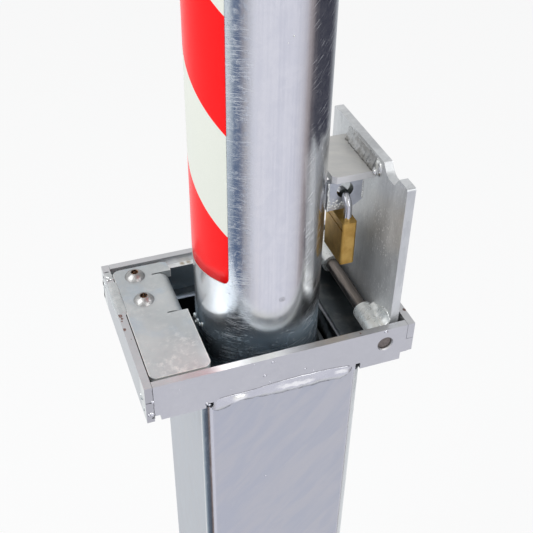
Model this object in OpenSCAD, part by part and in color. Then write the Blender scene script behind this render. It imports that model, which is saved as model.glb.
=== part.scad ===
// Retractable parking post: a galvanised round tube that sinks into a square ground sleeve,
// with a hinged lid, a bolted retaining plate and a padlock.
// Origin: on the post's axis, at the underside of the sleeve's foot plate.
// +Z is up, +X points to the hinged lid, -Y is the front. Heights named "above ground"
// count from the frame's top edge.

/* [Post] */
// Outside diameter of the post tube
post_d = 101.6; // [90:0.1:110]
// Wall of the post tube
post_wall = 3.6; // [2:0.1:6]
// Height of the raised post above ground
post_above = 600; // [500:5:900]
// Height of the raised post's foot, below ground
foot_h = 180; // [120:5:300]
// Depth of the lowered post's top below ground
post_sunk = 53; // [50:1:80]
// Thickness of the top cap
cap_t = 6; // [3:0.5:10]
// Chamfer round the top cap
cap_chamfer = 2; // [0.5:0.5:2.5]
// Thickness of the two square guide plates
guide_t = 6; // [4:0.5:10]
// Depth of the upper guide plate's top face below ground
collar_depth = 58; // [38:1:80]
// Gap between the upper guide plate and the sleeve
collar_gap = 1.2; // [0.8:0.1:1.6]
// Gap between the lower guide plate and the sleeve
foot_guide_gap = 0.4; // [0.3:0.05:0.8]
// How much rounder the guide plates' corners are than the sleeve's
guide_round = 1; // [0.5:0.1:2]
// Leg of the weld between the tube and its upper guide plate
collar_weld_leg = 4; // [2:0.5:5]

/* [Reflective sheet] */
// Thickness of the white sheet
sheet_t = 0.3; // [0.2:0.05:0.5]
// Thickness of the red bands on it
stripe_t = 0.15; // [0.1:0.05:0.3]
// Height of the sheet's lower edge above ground
sheet_bottom = 47; // [20:1:100]
// Height of the sheet
sheet_h = 501; // [300:1:520]
// Angle of the sheet's front edge round the post
sheet_edge_angle = 225.6; // [200:0.2:250]
// Angle that the sheet covers
sheet_span = 160; // [120:1:180]
// Height of one band, measured up the post
stripe_h = 82.7; // [60:0.1:110]
// Height of the first red band's upper end at the front edge, above ground
first_stripe_top = 91.8; // [60:0.1:110]
// Rise of a band for each millimetre round the post
stripe_slope = 0.88; // [0.6:0.01:1.2]

/* [Sleeve] */
// Wall of the square sleeve
sleeve_wall = 4; // [3:0.5:5]
// Least gap between the post tube and the sleeve's back wall
post_gap = 2.2; // [1.8:0.1:6]
// Offset of the post from the sleeve's middle, towards the back
post_off_y = 9; // [4:0.5:12]
// Offset of the post from the sleeve's middle, towards the lid
post_off_x = 3.5; // [0:0.5:6]
// Outer corner radius of the sleeve
sleeve_corner_r = 7.3; // [6:0.1:12]
// Thickness of the foot plate
foot_t = 5; // [4:0.5:10]
// Gap under the lowered post
foot_clear = 2; // [1:0.5:20]
// Diameter of the drain holes
drain_d = 12; // [8:1:16]
// Distance of the drain holes from the sleeve's middle
drain_off = 38; // [30:1:42]

/* [Frame] */
// Room between the sleeve and the frame's ends, left and right
side_room = 43.5; // [42:0.5:60]
// Room between the sleeve and the frame's back face
back_room = 18; // [16:0.5:30]
// Height of the frame
frame_h = 36; // [32:1:38]
// Thickness of the frame's bars
bar_t = 6; // [5:0.5:8]
// Depth of the side bars' fingers at the corners
finger_h = 15; // [10:1:20]
// Gap in the finger joints
finger_gap = 0.3; // [0.1:0.1:0.5]
// Thickness of the floor plate
floor_t = 3.5; // [3:0.5:4]
// Width of the floor plate's seat on the sleeve's wall
floor_seat = 1.4; // [0.8:0.1:1.6]
// Width of the ledge bars
ledge_w = 5.5; // [5:0.5:8]
// Depth of the ledges' tops below ground
seat_deep = 8; // [7.5:0.5:10]
// Rise of the sleeve's front wall into the front bar
tongue_h = 3; // [2:0.5:4]
// Reach of that rise to the left of the sleeve's middle
tongue_left = 57.5; // [50:0.5:58]
// Reach of that rise to the right of the sleeve's middle
tongue_right = 60.5; // [50:0.5:61]
// Width of the left relief notch
relief_left = 6; // [3:0.5:7]
// Width of the right relief notch
relief_right = 4; // [3:0.5:7]
// Height of the left relief notch
relief_left_h = 4.5; // [3:0.5:8]
// Height of the right relief notch
relief_right_h = 6.5; // [3:0.5:8]
// Length of the step in the front bar's lower right corner
step_l = 10; // [6:1:14]
// Height of that step
step_h = 7.5; // [4:0.5:9]
// Width of the nick in the front bar's lower left corner
nick_l = 5; // [3:0.5:6]
// Height of that nick
nick_h = 5.5; // [3:0.5:8]
// Length of the weld bead across the front
bead_l = 114; // [80:1:116]
// Height of the bead
bead_h = 11; // [8:0.5:14]
// Thickness of the bead
bead_t = 1.8; // [1:0.1:3]
// Distance of the bead's middle from the sleeve's middle, towards the left
bead_left = 1.5; // [0:0.5:2]

/* [Retaining plate] */
// Thickness of the retaining plate
plate_t = 7; // [5:0.5:8]
// Gap between the plate and the left bar
plate_side_gap = 1; // [0.5:0.5:2]
// Gap between the plate and the front and back bars
plate_end_gap = 3; // [2:0.5:4]
// Gap between the plate and the shut lid
lid_gap = 1.4; // [1:0.1:3]
// Corner radius of the plate
plate_corner_r = 6; // [3:0.5:8]
// Inner radius of the bent tab
bend_r = 3; // [2:0.5:4]
// Width of the bent tab
tab_w = 49; // [40:1:52]
// Distance of the tab's front edge from the post's axis, towards the back
tab_front_y = 2.5; // [0:0.5:4]
// Gap between the tab's lower end and the sleeve's top
tab_end_gap = 1; // [0.5:0.5:2]
// Gap between the tab and the floor plate's edge
tab_side_gap = 0.3; // [0.2:0.1:0.6]
// Width of the slits beside the tab
slit_w = 1.4; // [1:0.1:2]
// Length of the slits behind the bend
slit_l = 4.2; // [2:0.1:8]
// Chamfer at the plate's right end, behind the tab
plate_chamfer = 10; // [6:0.5:11]
// Length of the screw block
block_l = 53; // [45:0.5:56]
// Width of the screw block
block_w = 29; // [26:0.5:30]
// Height of the screw block
block_h = 12; // [10:0.5:16]
// Diameter of the screws' heads
screw_head_d = 17; // [14:0.5:17.5]
// Height of the screws' heads
screw_head_h = 5; // [4:0.5:6]
// Diameter of the screws' shanks
screw_d = 8; // [6:1:10]
// Distance of the screws from the left bar's inner face
screw_in = 18.2; // [17:0.1:19]
// Distance between the screws
screw_pitch = 31.5; // [26:0.5:34]
// Distance of the back screw from the post's axis, towards the back
screw_back_y = 54.5; // [48:0.5:56]
// Width across the flats of the screws' sockets
socket_w = 5; // [4:0.5:6]
// Depth of those sockets
socket_deep = 3; // [2:0.5:3.5]
// Diameter of the pins in them
pin_d = 1.6; // [1:0.1:2]

/* [Lid] */
// Thickness of the lid
lid_t = 7; // [6:0.5:7.5]
// Depth of the shut lid's face below ground
lid_sink = 0.5; // [0.2:0.1:1]
// Gap between the lid and the front and back bars
lid_end_gap = 4; // [3:0.5:5]
// Length of the lid from the hinge axis to its free edge
lid_reach = 138.5; // [134:0.5:142]
// Length of the lid below the hinge axis
lid_tail = 5; // [3:0.5:6]
// Depth of the notch in the free edge
notch_h = 8.5; // [4:0.5:12]
// Width of the shoulder in front of the notch
shoulder_w = 13.5; // [8:0.5:18]
// Width of the notch's floor
notch_w = 12; // [8:0.5:20]
// Width of the notch's front slope
notch_front_slope = 5.5; // [2:0.5:8]
// Width of the notch's back slope
notch_back_slope = 7; // [2:0.5:10]
// Radius between the notch's floor and its back slope
notch_r = 9; // [3:0.5:12]
// Radius of the lid's corners
lid_corner_r = 2.5; // [1:0.5:4]
// Distance of the hinge axis from the right bar's inner face
hinge_in = 18.6; // [18:0.1:20]
// Depth of the hinge axis below ground
hinge_drop = 15; // [14:0.5:16]
// Diameter of the hinge axle
axle_d = 11; // [8:0.5:11.5]
// Running clearance between the axle and the knuckles
axle_fit = 0.06; // [0.02:0.01:0.1]
// Clearance between the axle and the holes in the bars
axle_seat_gap = 0.3; // [0.2:0.05:0.5]
// Depth of the axle's ends below the bars' outer faces
axle_recess = 2; // [1:0.5:3]
// Width of the chamfer round the bars' holes
hole_chamfer = 1; // [0.5:0.1:1.5]
// Outside diameter of the knuckles
knuckle_d = 17; // [16:0.5:18]
// Length of one knuckle
knuckle_l = 33; // [20:1:40]
// Length at a knuckle's inner end where its groove stays open
knuckle_open = 6; // [3:0.5:10]

/* [Shelf and lug] */
// Height of the shelf's underside above ground
shelf_z = 104; // [95:1:108]
// Thickness of the shelf
shelf_t = 6; // [5:0.5:8]
// Width of the shelf
shelf_w = 57; // [45:1:70]
// Distance of the shelf's front edge from the post's axis, towards the front
shelf_front = 16; // [15:0.5:20]
// Gap between the shelf and the post
shelf_gap = 3.2; // [2:0.1:6]
// Chamfer at the shelf's front corner
shelf_chamfer = 3; // [1:0.5:6]
// Height of the hollow weld above the shelf
shelf_weld_h = 12; // [8:0.5:12.5]
// Width of that weld on the shelf
shelf_weld_w = 4; // [3:0.5:8]
// Length of that weld
shelf_weld_l = 57; // [40:1:60]
// Reach of that weld past the shelf's front edge
shelf_weld_reach = 5; // [0:0.5:6]
// Least thickness at the edges of that weld
weld_edge_t = 0.6; // [0.4:0.1:1]
// Thickness of the lug
lug_t = 6; // [4:0.5:7]
// Width of the lug
lug_w = 29.3; // [26:0.1:31]
// Height of the lug
lug_h = 25; // [22:0.5:30]
// Distance of the lug's middle from the post's axis, towards the front
lug_front = 11; // [10:0.5:12]
// Gap between the lug and the post
lug_gap = 0.4; // [0.3:0.1:1]
// Diameter of the lug's eye
eye_d = 13.7; // [12:0.1:14]
// Distance of the eye from the lug's inner edge
eye_in = 14; // [12:0.5:15]
// Depth of the eye below the shelf
eye_drop = 7.9; // [7.6:0.1:10]
// Chamfer at the lug's outer lower corner
lug_chamfer = 6; // [2:0.5:8]

/* [Padlock] */
// Diameter of the shackle's bar
shackle_d = 6.3; // [5:0.1:6.6]
// Distance between the middles of the shackle's legs
shackle_pitch = 22; // [20:0.5:24]
// Gap between the shackle and the eye's lower edge
hang_gap = 0.3; // [0.2:0.1:0.5]
// Clear height inside the shackle's legs, below the bend
shackle_straight = 8; // [7:0.5:10]
// Width of the padlock's body
lock_w = 34; // [32:0.5:36]
// Thickness of the padlock's body
lock_t = 12; // [11:0.5:13]
// Height of the padlock's body
lock_h = 39; // [34:0.5:42]
// Corner radius of the padlock's body
lock_r = 2; // [1:0.5:3]
// Depth of the long leg in the body
long_leg = 22; // [14:0.5:24]
// Depth of the short leg in the body
short_leg = 7; // [4:0.5:8]
// Running clearance of the shackle and the plug in the body
lock_fit = 0.05; // [0.02:0.01:0.1]
// Depth of the line round the body
groove_deep = 0.6; // [0.3:0.1:0.8]
// Width of that line
groove_w = 1; // [0.6:0.1:1.5]
// Depth of that line below the body's top
groove_drop = 6; // [4:0.5:8]
// Diameter of the lock's plug
plug_d = 9.5; // [8:0.1:10]
// Length of the lock's plug
plug_l = 12; // [10:0.5:14]
// Width of the keyway
keyway_w = 1.4; // [1:0.1:2]
// Depth of the keyway
keyway_deep = 3; // [2:0.5:8]

/* [Hidden] */
$fn = 96;
// A little more than nothing, so that cuts pass through a face
eps = 0.05;
// Glue line under the sheet and under its red bands
film_gap = 0.05;

// Heights
post_travel = post_above + post_sunk;
ground_z = foot_t + foot_clear + foot_h + post_travel;

// Sleeve and frame, in plan
post_r = post_d / 2;
sleeve_w = post_d + 2 * (post_off_y + post_gap + sleeve_wall);
sleeve_in = sleeve_w - 2 * sleeve_wall;
sleeve_in_r = sleeve_corner_r - sleeve_wall;
frame_w = sleeve_w + 2 * side_room;
frame_d = sleeve_w + back_room;
left_x = -post_off_x - frame_w / 2;
right_x = left_x + frame_w;
front_y = -post_off_y - sleeve_w / 2;
back_y = front_y + frame_d;
in_left_x = left_x + bar_t;
in_right_x = right_x - bar_t;
in_front_y = front_y + bar_t;
in_back_y = back_y - bar_t;
floor_top = -frame_h + floor_t;
ledge_h = -seat_deep - floor_top;

// Hinge and lid
hinge_x = in_right_x - hinge_in;
hinge_z = -hinge_drop;
knuckle_r = knuckle_d / 2;
lid_x1 = hinge_x + hinge_drop - lid_sink;
lid_x0 = lid_x1 - lid_t;
lid_y0 = in_front_y + lid_end_gap;
lid_y1 = in_back_y - lid_end_gap;
lid_top = hinge_z + lid_reach;
ledge_end_x = hinge_x - knuckle_r - 5;

// Retaining plate
plate_x0 = in_left_x + plate_side_gap;
plate_x1 = hinge_x - lid_reach - lid_gap;
plate_y0 = in_front_y + plate_end_gap;
plate_y1 = in_back_y - plate_end_gap;
floor_open_x0 = -post_off_x - sleeve_w / 2 + floor_seat;
tab_x0 = floor_open_x0 + tab_side_gap;
bend_x = tab_x0 - bend_r;
bend_z = -seat_deep - bend_r;
tab_y1 = tab_front_y + tab_w;
screw_x = in_left_x + screw_in;

// Shelf, lug and padlock
shelf_x0 = post_r + shelf_gap;
lug_x0 = post_r + lug_gap;
eye_x = lug_x0 + eye_in;
eye_z = shelf_z - eye_drop;
shackle_r = shackle_d / 2;
arc_r = shackle_pitch / 2;
arc_sag = arc_r - sqrt(arc_r * arc_r - lug_t * lug_t / 4);
arc_top_z = eye_z - eye_d / 2 + hang_gap + arc_sag + shackle_r;
arc_z = arc_top_z - arc_r;
lock_top = arc_z - shackle_straight;

module at_ground() {
    translate([0, 0, ground_z]) children();
}

// Rectangle between two corners, with rounded corners
module rounded_rect(x0, x1, y0, y1, r) {
    translate([x0 + r, y0]) square([x1 - x0 - 2 * r, y1 - y0]);
    translate([x0, y0 + r]) square([x1 - x0, y1 - y0 - 2 * r]);
    for (x = [x0 + r, x1 - r], y = [y0 + r, y1 - r]) translate([x, y]) circle(r);
}

// Square outline centred on the sleeve
module sleeve_square(w, r) {
    translate([-post_off_x, -post_off_y]) rounded_rect(-w / 2, w / 2, -w / 2, w / 2, r);
}

// Flat shape drawn in X and Z, made solid from y0 towards +Y
module upright(y0, t) {
    translate([0, y0 + t, 0]) rotate([90, 0, 0]) linear_extrude(t) children();
}

// Flat shape drawn in Y and Z, made solid from x0 towards +X
module sideways(x0, t) {
    translate([x0, 0, 0]) rotate([90, 0, 90]) linear_extrude(t) children();
}

// Round bar along Y between two places
module bar_y(x, z, r, y0, y1) {
    translate([x, y1, z]) rotate([90, 0, 0]) cylinder(r = r, h = y1 - y0);
}

module foundation_sleeve() {
    sleeve_top = ground_z - frame_h;
    color("lightsteelblue") {
        translate([0, 0, foot_t]) linear_extrude(sleeve_top - foot_t) difference() {
            sleeve_square(sleeve_w, sleeve_corner_r);
            sleeve_square(sleeve_in, sleeve_in_r);
        }
        translate([-post_off_x - tongue_left, front_y, sleeve_top - eps])
            cube([tongue_left + tongue_right, sleeve_wall, tongue_h + eps]);
    }
}

module sleeve_foot_plate() {
    color("lightsteelblue") linear_extrude(foot_t) difference() {
        sleeve_square(sleeve_w, sleeve_corner_r);
        for (sx = [-1, 1], sy = [-1, 1])
            translate([-post_off_x + sx * drain_off, -post_off_y + sy * drain_off]) circle(d = drain_d);
    }
}

// Outline of the front and back bars: the corners' lower fingers reach the frame's ends
module long_bar_outline() {
    translate([in_left_x + finger_gap, -finger_h])
        square([in_right_x - in_left_x - 2 * finger_gap, finger_h]);
    translate([left_x, -frame_h]) square([frame_w, frame_h - finger_h - finger_gap]);
    translate([in_left_x + finger_gap, -finger_h - 1])
        square([in_right_x - in_left_x - 2 * finger_gap, 2]);
}

// Hole for the hinge axle, with a chamfer on the outer side, which faces -Y
module axle_hole(outer_y) {
    hole_r = axle_d / 2 + axle_seat_gap;
    bar_y(hinge_x, hinge_z, hole_r, outer_y - 1, outer_y + bar_t + 1);
    translate([hinge_x, outer_y + hole_chamfer, hinge_z]) rotate([90, 0, 0])
        cylinder(r1 = hole_r, r2 = hole_r + 2 * hole_chamfer, h = 2 * hole_chamfer);
}

module frame_front_bar() {
    mid_x = -post_off_x;
    color("silver") at_ground() difference() {
        upright(front_y, bar_t) difference() {
            long_bar_outline();
            translate([mid_x - tongue_left, -frame_h - 1]) square([tongue_left + tongue_right, tongue_h + 1]);
            translate([mid_x - tongue_left - relief_left, -frame_h - 1]) square([relief_left, relief_left_h + 1]);
            translate([mid_x + tongue_right, -frame_h - 1]) square([relief_right, relief_right_h + 1]);
            translate([right_x - step_l, -frame_h - 1]) square([step_l + 1, step_h + 1]);
            translate([in_left_x, -frame_h - 1]) square([nick_l, nick_h + 1]);
        }
        axle_hole(front_y);
    }
}

module frame_back_bar() {
    color("silver") at_ground() difference() {
        upright(in_back_y, bar_t) long_bar_outline();
        mirror([0, 1, 0]) axle_hole(-back_y);
    }
}

// Side bar from x0: full height between the long bars, with upper fingers over their ends
module side_bar(x0) {
    sideways(x0, bar_t) {
        translate([front_y, -finger_h]) square([frame_d, finger_h]);
        translate([in_front_y + finger_gap, -frame_h])
            square([in_back_y - in_front_y - 2 * finger_gap, frame_h]);
    }
}

module frame_left_bar() {
    color("silver") at_ground() side_bar(left_x);
}

module frame_right_bar() {
    color("silver") at_ground() side_bar(in_right_x);
}

module frame_floor_plate() {
    open_x1 = -post_off_x + sleeve_w / 2 - floor_seat;
    open_y1 = front_y + sleeve_w - floor_seat;
    color("slategray") at_ground() translate([0, 0, -frame_h]) linear_extrude(floor_t) difference() {
        translate([in_left_x, in_front_y]) square([in_right_x - in_left_x, in_back_y - in_front_y]);
        rounded_rect(floor_open_x0, open_x1, front_y - sleeve_w, open_y1, sleeve_corner_r - floor_seat);
    }
}

// Ledge bar whose lower left corner in plan is (x, y)
module ledge(y) {
    translate([in_left_x, y, -seat_deep - ledge_h]) cube([ledge_end_x - in_left_x, ledge_w, ledge_h]);
}

module back_ledge() {
    color("slategray") at_ground() ledge(in_back_y - ledge_w);
}

module front_ledge() {
    color("slategray") at_ground() ledge(in_front_y);
}

module screw_places() {
    for (i = [0, 1]) translate([screw_x, screw_back_y - i * screw_pitch, 0]) children();
}

module screw_block() {
    block_y1 = in_back_y - ledge_w;
    color("slategray") at_ground() difference() {
        translate([in_left_x, block_y1 - block_l, -seat_deep - block_h]) cube([block_w, block_l, block_h]);
        screw_places() translate([0, 0, -seat_deep - block_h - 1]) cylinder(r = screw_d / 2 + eps, h = block_h + 2);
    }
}

// Flat pillow of weld: a slice of a cylinder with slices of spheres at its ends
module front_weld_bead() {
    half_h = bead_h / 2;
    arc = (half_h * half_h + bead_t * bead_t) / (2 * bead_t);
    run = bead_l / 2 - half_h;
    bead_z = -frame_h + tongue_h - 2;
    color("gainsboro") at_ground() intersection() {
        translate([-post_off_x - bead_left, front_y + arc - bead_t, bead_z]) {
            translate([-run, 0, 0]) rotate([0, 90, 0]) cylinder(r = arc, h = 2 * run);
            for (s = [-1, 1]) translate([s * run, 0, 0]) sphere(arc);
        }
        translate([left_x, front_y - 2 * bead_t, -2 * frame_h]) cube([frame_w, 2 * bead_t, 2 * frame_h]);
    }
}

// Retaining plate in plan, without its bent tab
module retaining_plate_outline() {
    difference() {
        rounded_rect(plate_x0, plate_x1, plate_y0, plate_y1, plate_corner_r);
        translate([bend_x, tab_front_y - slit_w]) square([plate_x1 - plate_x0, tab_w + 2 * slit_w]);
        for (y = [tab_front_y - slit_w, tab_y1]) translate([bend_x - slit_l, y]) square([2 * slit_l, slit_w]);
        translate([plate_x1, plate_y1]) rotate(12) translate([-2, -plate_chamfer]) square([9, 2 * plate_chamfer]);
    }
}

module retaining_plate() {
    tab_foot = -frame_h + tab_end_gap;
    color("silver") at_ground() difference() {
        union() {
            translate([0, 0, -seat_deep]) linear_extrude(plate_t) retaining_plate_outline();
            translate([bend_x, tab_y1, bend_z]) rotate([90, 0, 0]) rotate_extrude(angle = 90)
                translate([bend_r, 0]) square([plate_t, tab_w]);
            translate([bend_x + bend_r, tab_front_y, tab_foot]) cube([plate_t, tab_w, bend_z - tab_foot]);
        }
        screw_places() translate([0, 0, -seat_deep - 1]) cylinder(r = screw_d / 2 + 0.3, h = plate_t + 2);
    }
}

module retaining_screws() {
    head_z = -seat_deep + plate_t;
    head_r = screw_head_d / 2;
    dome_r = (head_r * head_r + screw_head_h * screw_head_h) / (2 * screw_head_h);
    color("sienna") at_ground() screw_places() difference() {
        union() {
            translate([0, 0, -seat_deep - block_h]) cylinder(d = screw_d, h = block_h + plate_t);
            intersection() {
                translate([0, 0, head_z]) cylinder(r = head_r, h = screw_head_h);
                translate([0, 0, head_z + screw_head_h - dome_r]) sphere(dome_r);
            }
        }
        translate([0, 0, head_z + screw_head_h - socket_deep]) difference() {
            cylinder(d = socket_w / cos(30), h = 2 * socket_deep, $fn = 6);
            translate([0, 0, -1]) cylinder(d = pin_d, h = socket_deep + 0.5);
        }
    }
}

module hinge_axle() {
    color("dimgray") at_ground()
        bar_y(hinge_x, hinge_z, axle_d / 2, front_y + axle_recess, back_y - axle_recess);
}

// Lid outline in Y and Z, with the notch in its free edge
module lid_outline() {
    floor_y0 = lid_y0 + shoulder_w + notch_front_slope;
    floor_y1 = floor_y0 + notch_w;
    floor_z = lid_top - notch_h;
    slope = atan(notch_h / notch_back_slope);
    run = notch_r * tan(slope / 2);
    difference() {
        rounded_rect(lid_y0, lid_y1, hinge_z - lid_tail, lid_top, lid_corner_r);
        polygon([
            [floor_y0 - 1.5 * notch_front_slope, lid_top + notch_h / 2], [floor_y0, floor_z],
            [floor_y1 - run, floor_z], [floor_y1 - run, floor_z + notch_r],
            [floor_y1 + run * cos(slope), floor_z + run * sin(slope)],
            [floor_y1 + 1.5 * notch_back_slope, lid_top + notch_h / 2]
        ]);
        translate([floor_y1 - run, floor_z + notch_r]) circle(notch_r);
    }
}

module lid_plate() {
    color("lightslategray") at_ground() sideways(lid_x0, lid_t) lid_outline();
}

// Knuckle with a flat seat against the lid's inner face, and weld in its groove from fill_y0 on
module hinge_knuckle(y0, fill_y0) {
    color("gray") at_ground() difference() {
        union() {
            upright(y0, knuckle_l) intersection() {
                translate([hinge_x, hinge_z]) circle(knuckle_r);
                translate([lid_x0 - 2 * knuckle_d, hinge_z - knuckle_d]) square([2 * knuckle_d, 2 * knuckle_d]);
            }
            upright(fill_y0, knuckle_l - knuckle_open)
                translate([hinge_x, hinge_z]) square([lid_x0 - hinge_x, knuckle_r]);
        }
        bar_y(hinge_x, hinge_z, axle_d / 2 + axle_fit, y0 - 1, y0 + knuckle_l + 1);
    }
}

module hinge_knuckle_front() {
    hinge_knuckle(lid_y0, lid_y0);
}

module hinge_knuckle_back() {
    hinge_knuckle(lid_y1 - knuckle_l, lid_y1 - knuckle_l + knuckle_open);
}

module lid_shelf() {
    color("lightslategray") at_ground() translate([0, 0, shelf_z]) linear_extrude(shelf_t)
        polygon([
            [shelf_x0 + shelf_chamfer, -shelf_front], [lid_x0, -shelf_front],
            [lid_x0, shelf_w - shelf_front], [shelf_x0, shelf_w - shelf_front],
            [shelf_x0, shelf_chamfer - shelf_front]
        ]);
}

// Steep weld with a hollow face; it stands on the shelf and runs up the lid
module shelf_weld() {
    hollow_r = shelf_weld_h + shelf_weld_w;
    run = shelf_weld_w - weld_edge_t;
    rise = shelf_weld_h - weld_edge_t;
    color("gainsboro") at_ground() upright(-shelf_front - shelf_weld_reach, shelf_weld_l)
        translate([lid_x0, shelf_z + shelf_t]) difference() {
            polygon([
                [-shelf_weld_w, 0], [0, 0], [0, shelf_weld_h], [-weld_edge_t, shelf_weld_h],
                [-shelf_weld_w, weld_edge_t]
            ]);
            translate([-shelf_weld_w + run / 2, weld_edge_t + rise / 2]) rotate(atan(rise / run))
                translate([0, sqrt(hollow_r * hollow_r - (run * run + rise * rise) / 4)]) circle(hollow_r);
        }
}

module padlock_lug() {
    lug_z0 = shelf_z - lug_h;
    lug_x1 = lug_x0 + lug_w;
    color("slategray") at_ground() difference() {
        upright(-lug_front - lug_t / 2, lug_t) polygon([
            [lug_x0, lug_z0], [lug_x1 - 1.5 * lug_chamfer, lug_z0], [lug_x1, lug_z0 + lug_chamfer],
            [lug_x1, shelf_z], [lug_x0, shelf_z]
        ]);
        bar_y(eye_x, eye_z, eye_d / 2, -lug_front - lug_t, -lug_front + lug_t);
    }
}

module post_tube() {
    color("silver") translate([0, 0, ground_z - foot_h]) difference() {
        cylinder(d = post_d, h = foot_h + post_above - cap_t);
        translate([0, 0, -1]) cylinder(d = post_d - 2 * post_wall, h = foot_h + post_above - cap_t + 2);
    }
}

// Square plate round the tube, as wide as the sleeve's inside less a gap
module guide_plate(gap) {
    linear_extrude(guide_t) difference() {
        sleeve_square(sleeve_in - 2 * gap, sleeve_in_r + guide_round);
        circle(post_r);
    }
}

module guide_collar() {
    color("slategray") at_ground() translate([0, 0, -collar_depth - guide_t]) guide_plate(collar_gap);
}

module foot_guide() {
    color("slategray") at_ground() translate([0, 0, -foot_h]) guide_plate(foot_guide_gap);
}

module collar_weld() {
    color("gainsboro") at_ground() intersection() {
        translate([0, 0, -collar_depth]) rotate_extrude()
            polygon([[post_r, 0], [post_r + collar_weld_leg, 0], [post_r, collar_weld_leg]]);
        translate([0, 0, -collar_depth]) linear_extrude(2 * collar_weld_leg)
            sleeve_square(sleeve_in - 2 * collar_gap, sleeve_in_r + guide_round);
    }
}

module post_cap() {
    color("silver") at_ground() translate([0, 0, post_above - cap_t]) {
        cylinder(d = post_d, h = cap_t - cap_chamfer);
        translate([0, 0, cap_t - cap_chamfer - eps])
            cylinder(r1 = post_r, r2 = post_r - cap_chamfer, h = cap_chamfer + eps);
    }
}

// Pie slice in plan over the sheet's angle
module sheet_slice() {
    reach = 1.3 * post_r;
    steps = 4;
    polygon([
        [0, 0],
        for (i = [0:steps])
            let (a = sheet_edge_angle - sheet_span * i / steps) reach * [cos(a), sin(a)]
    ]);
}

module reflective_sheet() {
    r = post_r + film_gap;
    color("whitesmoke") at_ground() translate([0, 0, sheet_bottom]) linear_extrude(sheet_h) intersection() {
        difference() {
            circle(r + sheet_t);
            circle(r);
        }
        sheet_slice();
    }
}

// Flat-sided film just clear of the sheet, from which the red bands are cut
module band_film() {
    sides = 36;
    r = (post_r + sheet_t + 2 * film_gap) / cos(90 / sides);
    inner = [for (i = [0:sides]) let (a = sheet_edge_angle - sheet_span * i / sides) r * [cos(a), sin(a)]];
    outer = [for (p = inner) p * (1 + stripe_t / r)];
    translate([0, 0, sheet_bottom]) linear_extrude(sheet_h)
        polygon(concat(inner, [for (i = [sides:-1:0]) outer[i]]));
}

// One red band: a wedge that turns as it rises, cut from the film
module stripe(bottom_z) {
    turn_per_mm = 180 / (PI * stripe_slope * post_r);
    wedge = stripe_h * turn_per_mm;
    sweep = wedge + sheet_span;
    reach = 1.3 * post_r;
    steps = 4;
    intersection() {
        band_film();
        translate([0, 0, bottom_z]) linear_extrude(sweep / turn_per_mm, twist = sweep, slices = 24, $fn = 8)
            polygon([
                [0, 0],
                for (i = [0:steps]) let (a = sheet_edge_angle + wedge * i / steps) reach * [cos(a), sin(a)]
            ]);
    }
}

module reflective_stripes() {
    last = floor((sheet_h + sheet_bottom - first_stripe_top) / (2 * stripe_h)) + 1;
    color("red") at_ground() for (i = [-1:last]) stripe(first_stripe_top - stripe_h + 2 * stripe_h * i);
}

module padlock_shackle() {
    color("gainsboro") at_ground() translate([eye_x, -lug_front, 0]) {
        translate([0, 0, arc_z]) rotate([90, 0, 90]) rotate_extrude(angle = 180)
            translate([arc_r, 0]) circle(shackle_r);
        translate([0, arc_r, lock_top - long_leg]) cylinder(r = shackle_r, h = shackle_straight + long_leg);
        translate([0, -arc_r, lock_top - short_leg]) cylinder(r = shackle_r, h = shackle_straight + short_leg);
    }
}

module padlock_body() {
    bore_r = shackle_r + lock_fit;
    mid = -lug_front;
    color("darkgoldenrod") at_ground() difference() {
        translate([0, 0, lock_top - lock_h]) linear_extrude(lock_h)
            rounded_rect(eye_x - lock_t / 2, eye_x + lock_t / 2, mid - lock_w / 2, mid + lock_w / 2, lock_r);
        translate([eye_x, mid + arc_r, lock_top - long_leg - 1]) cylinder(r = bore_r, h = long_leg + 2);
        translate([eye_x, mid - arc_r, lock_top - short_leg - 1]) cylinder(r = bore_r, h = short_leg + 2);
        translate([eye_x, mid, lock_top - lock_h - 1]) cylinder(r = plug_d / 2 + lock_fit, h = plug_l + 1.2);
        for (s = [-1, 1]) translate([eye_x + s * lock_t / 2, mid, lock_top - groove_drop - groove_w / 2])
            cube([2 * groove_deep, lock_w + 2, groove_w], center = true);
    }
}

module padlock_plug() {
    color("goldenrod") at_ground() translate([eye_x, -lug_front, lock_top - lock_h]) difference() {
        cylinder(d = plug_d, h = plug_l);
        translate([-plug_d / 4, -keyway_w / 2, -keyway_deep]) cube([plug_d / 2, keyway_w, 2 * keyway_deep]);
    }
}

foundation_sleeve();
sleeve_foot_plate();
frame_front_bar();
frame_back_bar();
frame_left_bar();
frame_right_bar();
frame_floor_plate();
back_ledge();
front_ledge();
screw_block();
front_weld_bead();
retaining_plate();
retaining_screws();
hinge_axle();
lid_plate();
hinge_knuckle_front();
hinge_knuckle_back();
lid_shelf();
shelf_weld();
padlock_lug();
post_tube();
guide_collar();
collar_weld();
foot_guide();
post_cap();
reflective_sheet();
reflective_stripes();
padlock_shackle();
padlock_body();
padlock_plug();
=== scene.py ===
import math
import random

import bmesh
import bpy
from mathutils import Matrix, Vector, noise


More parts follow.
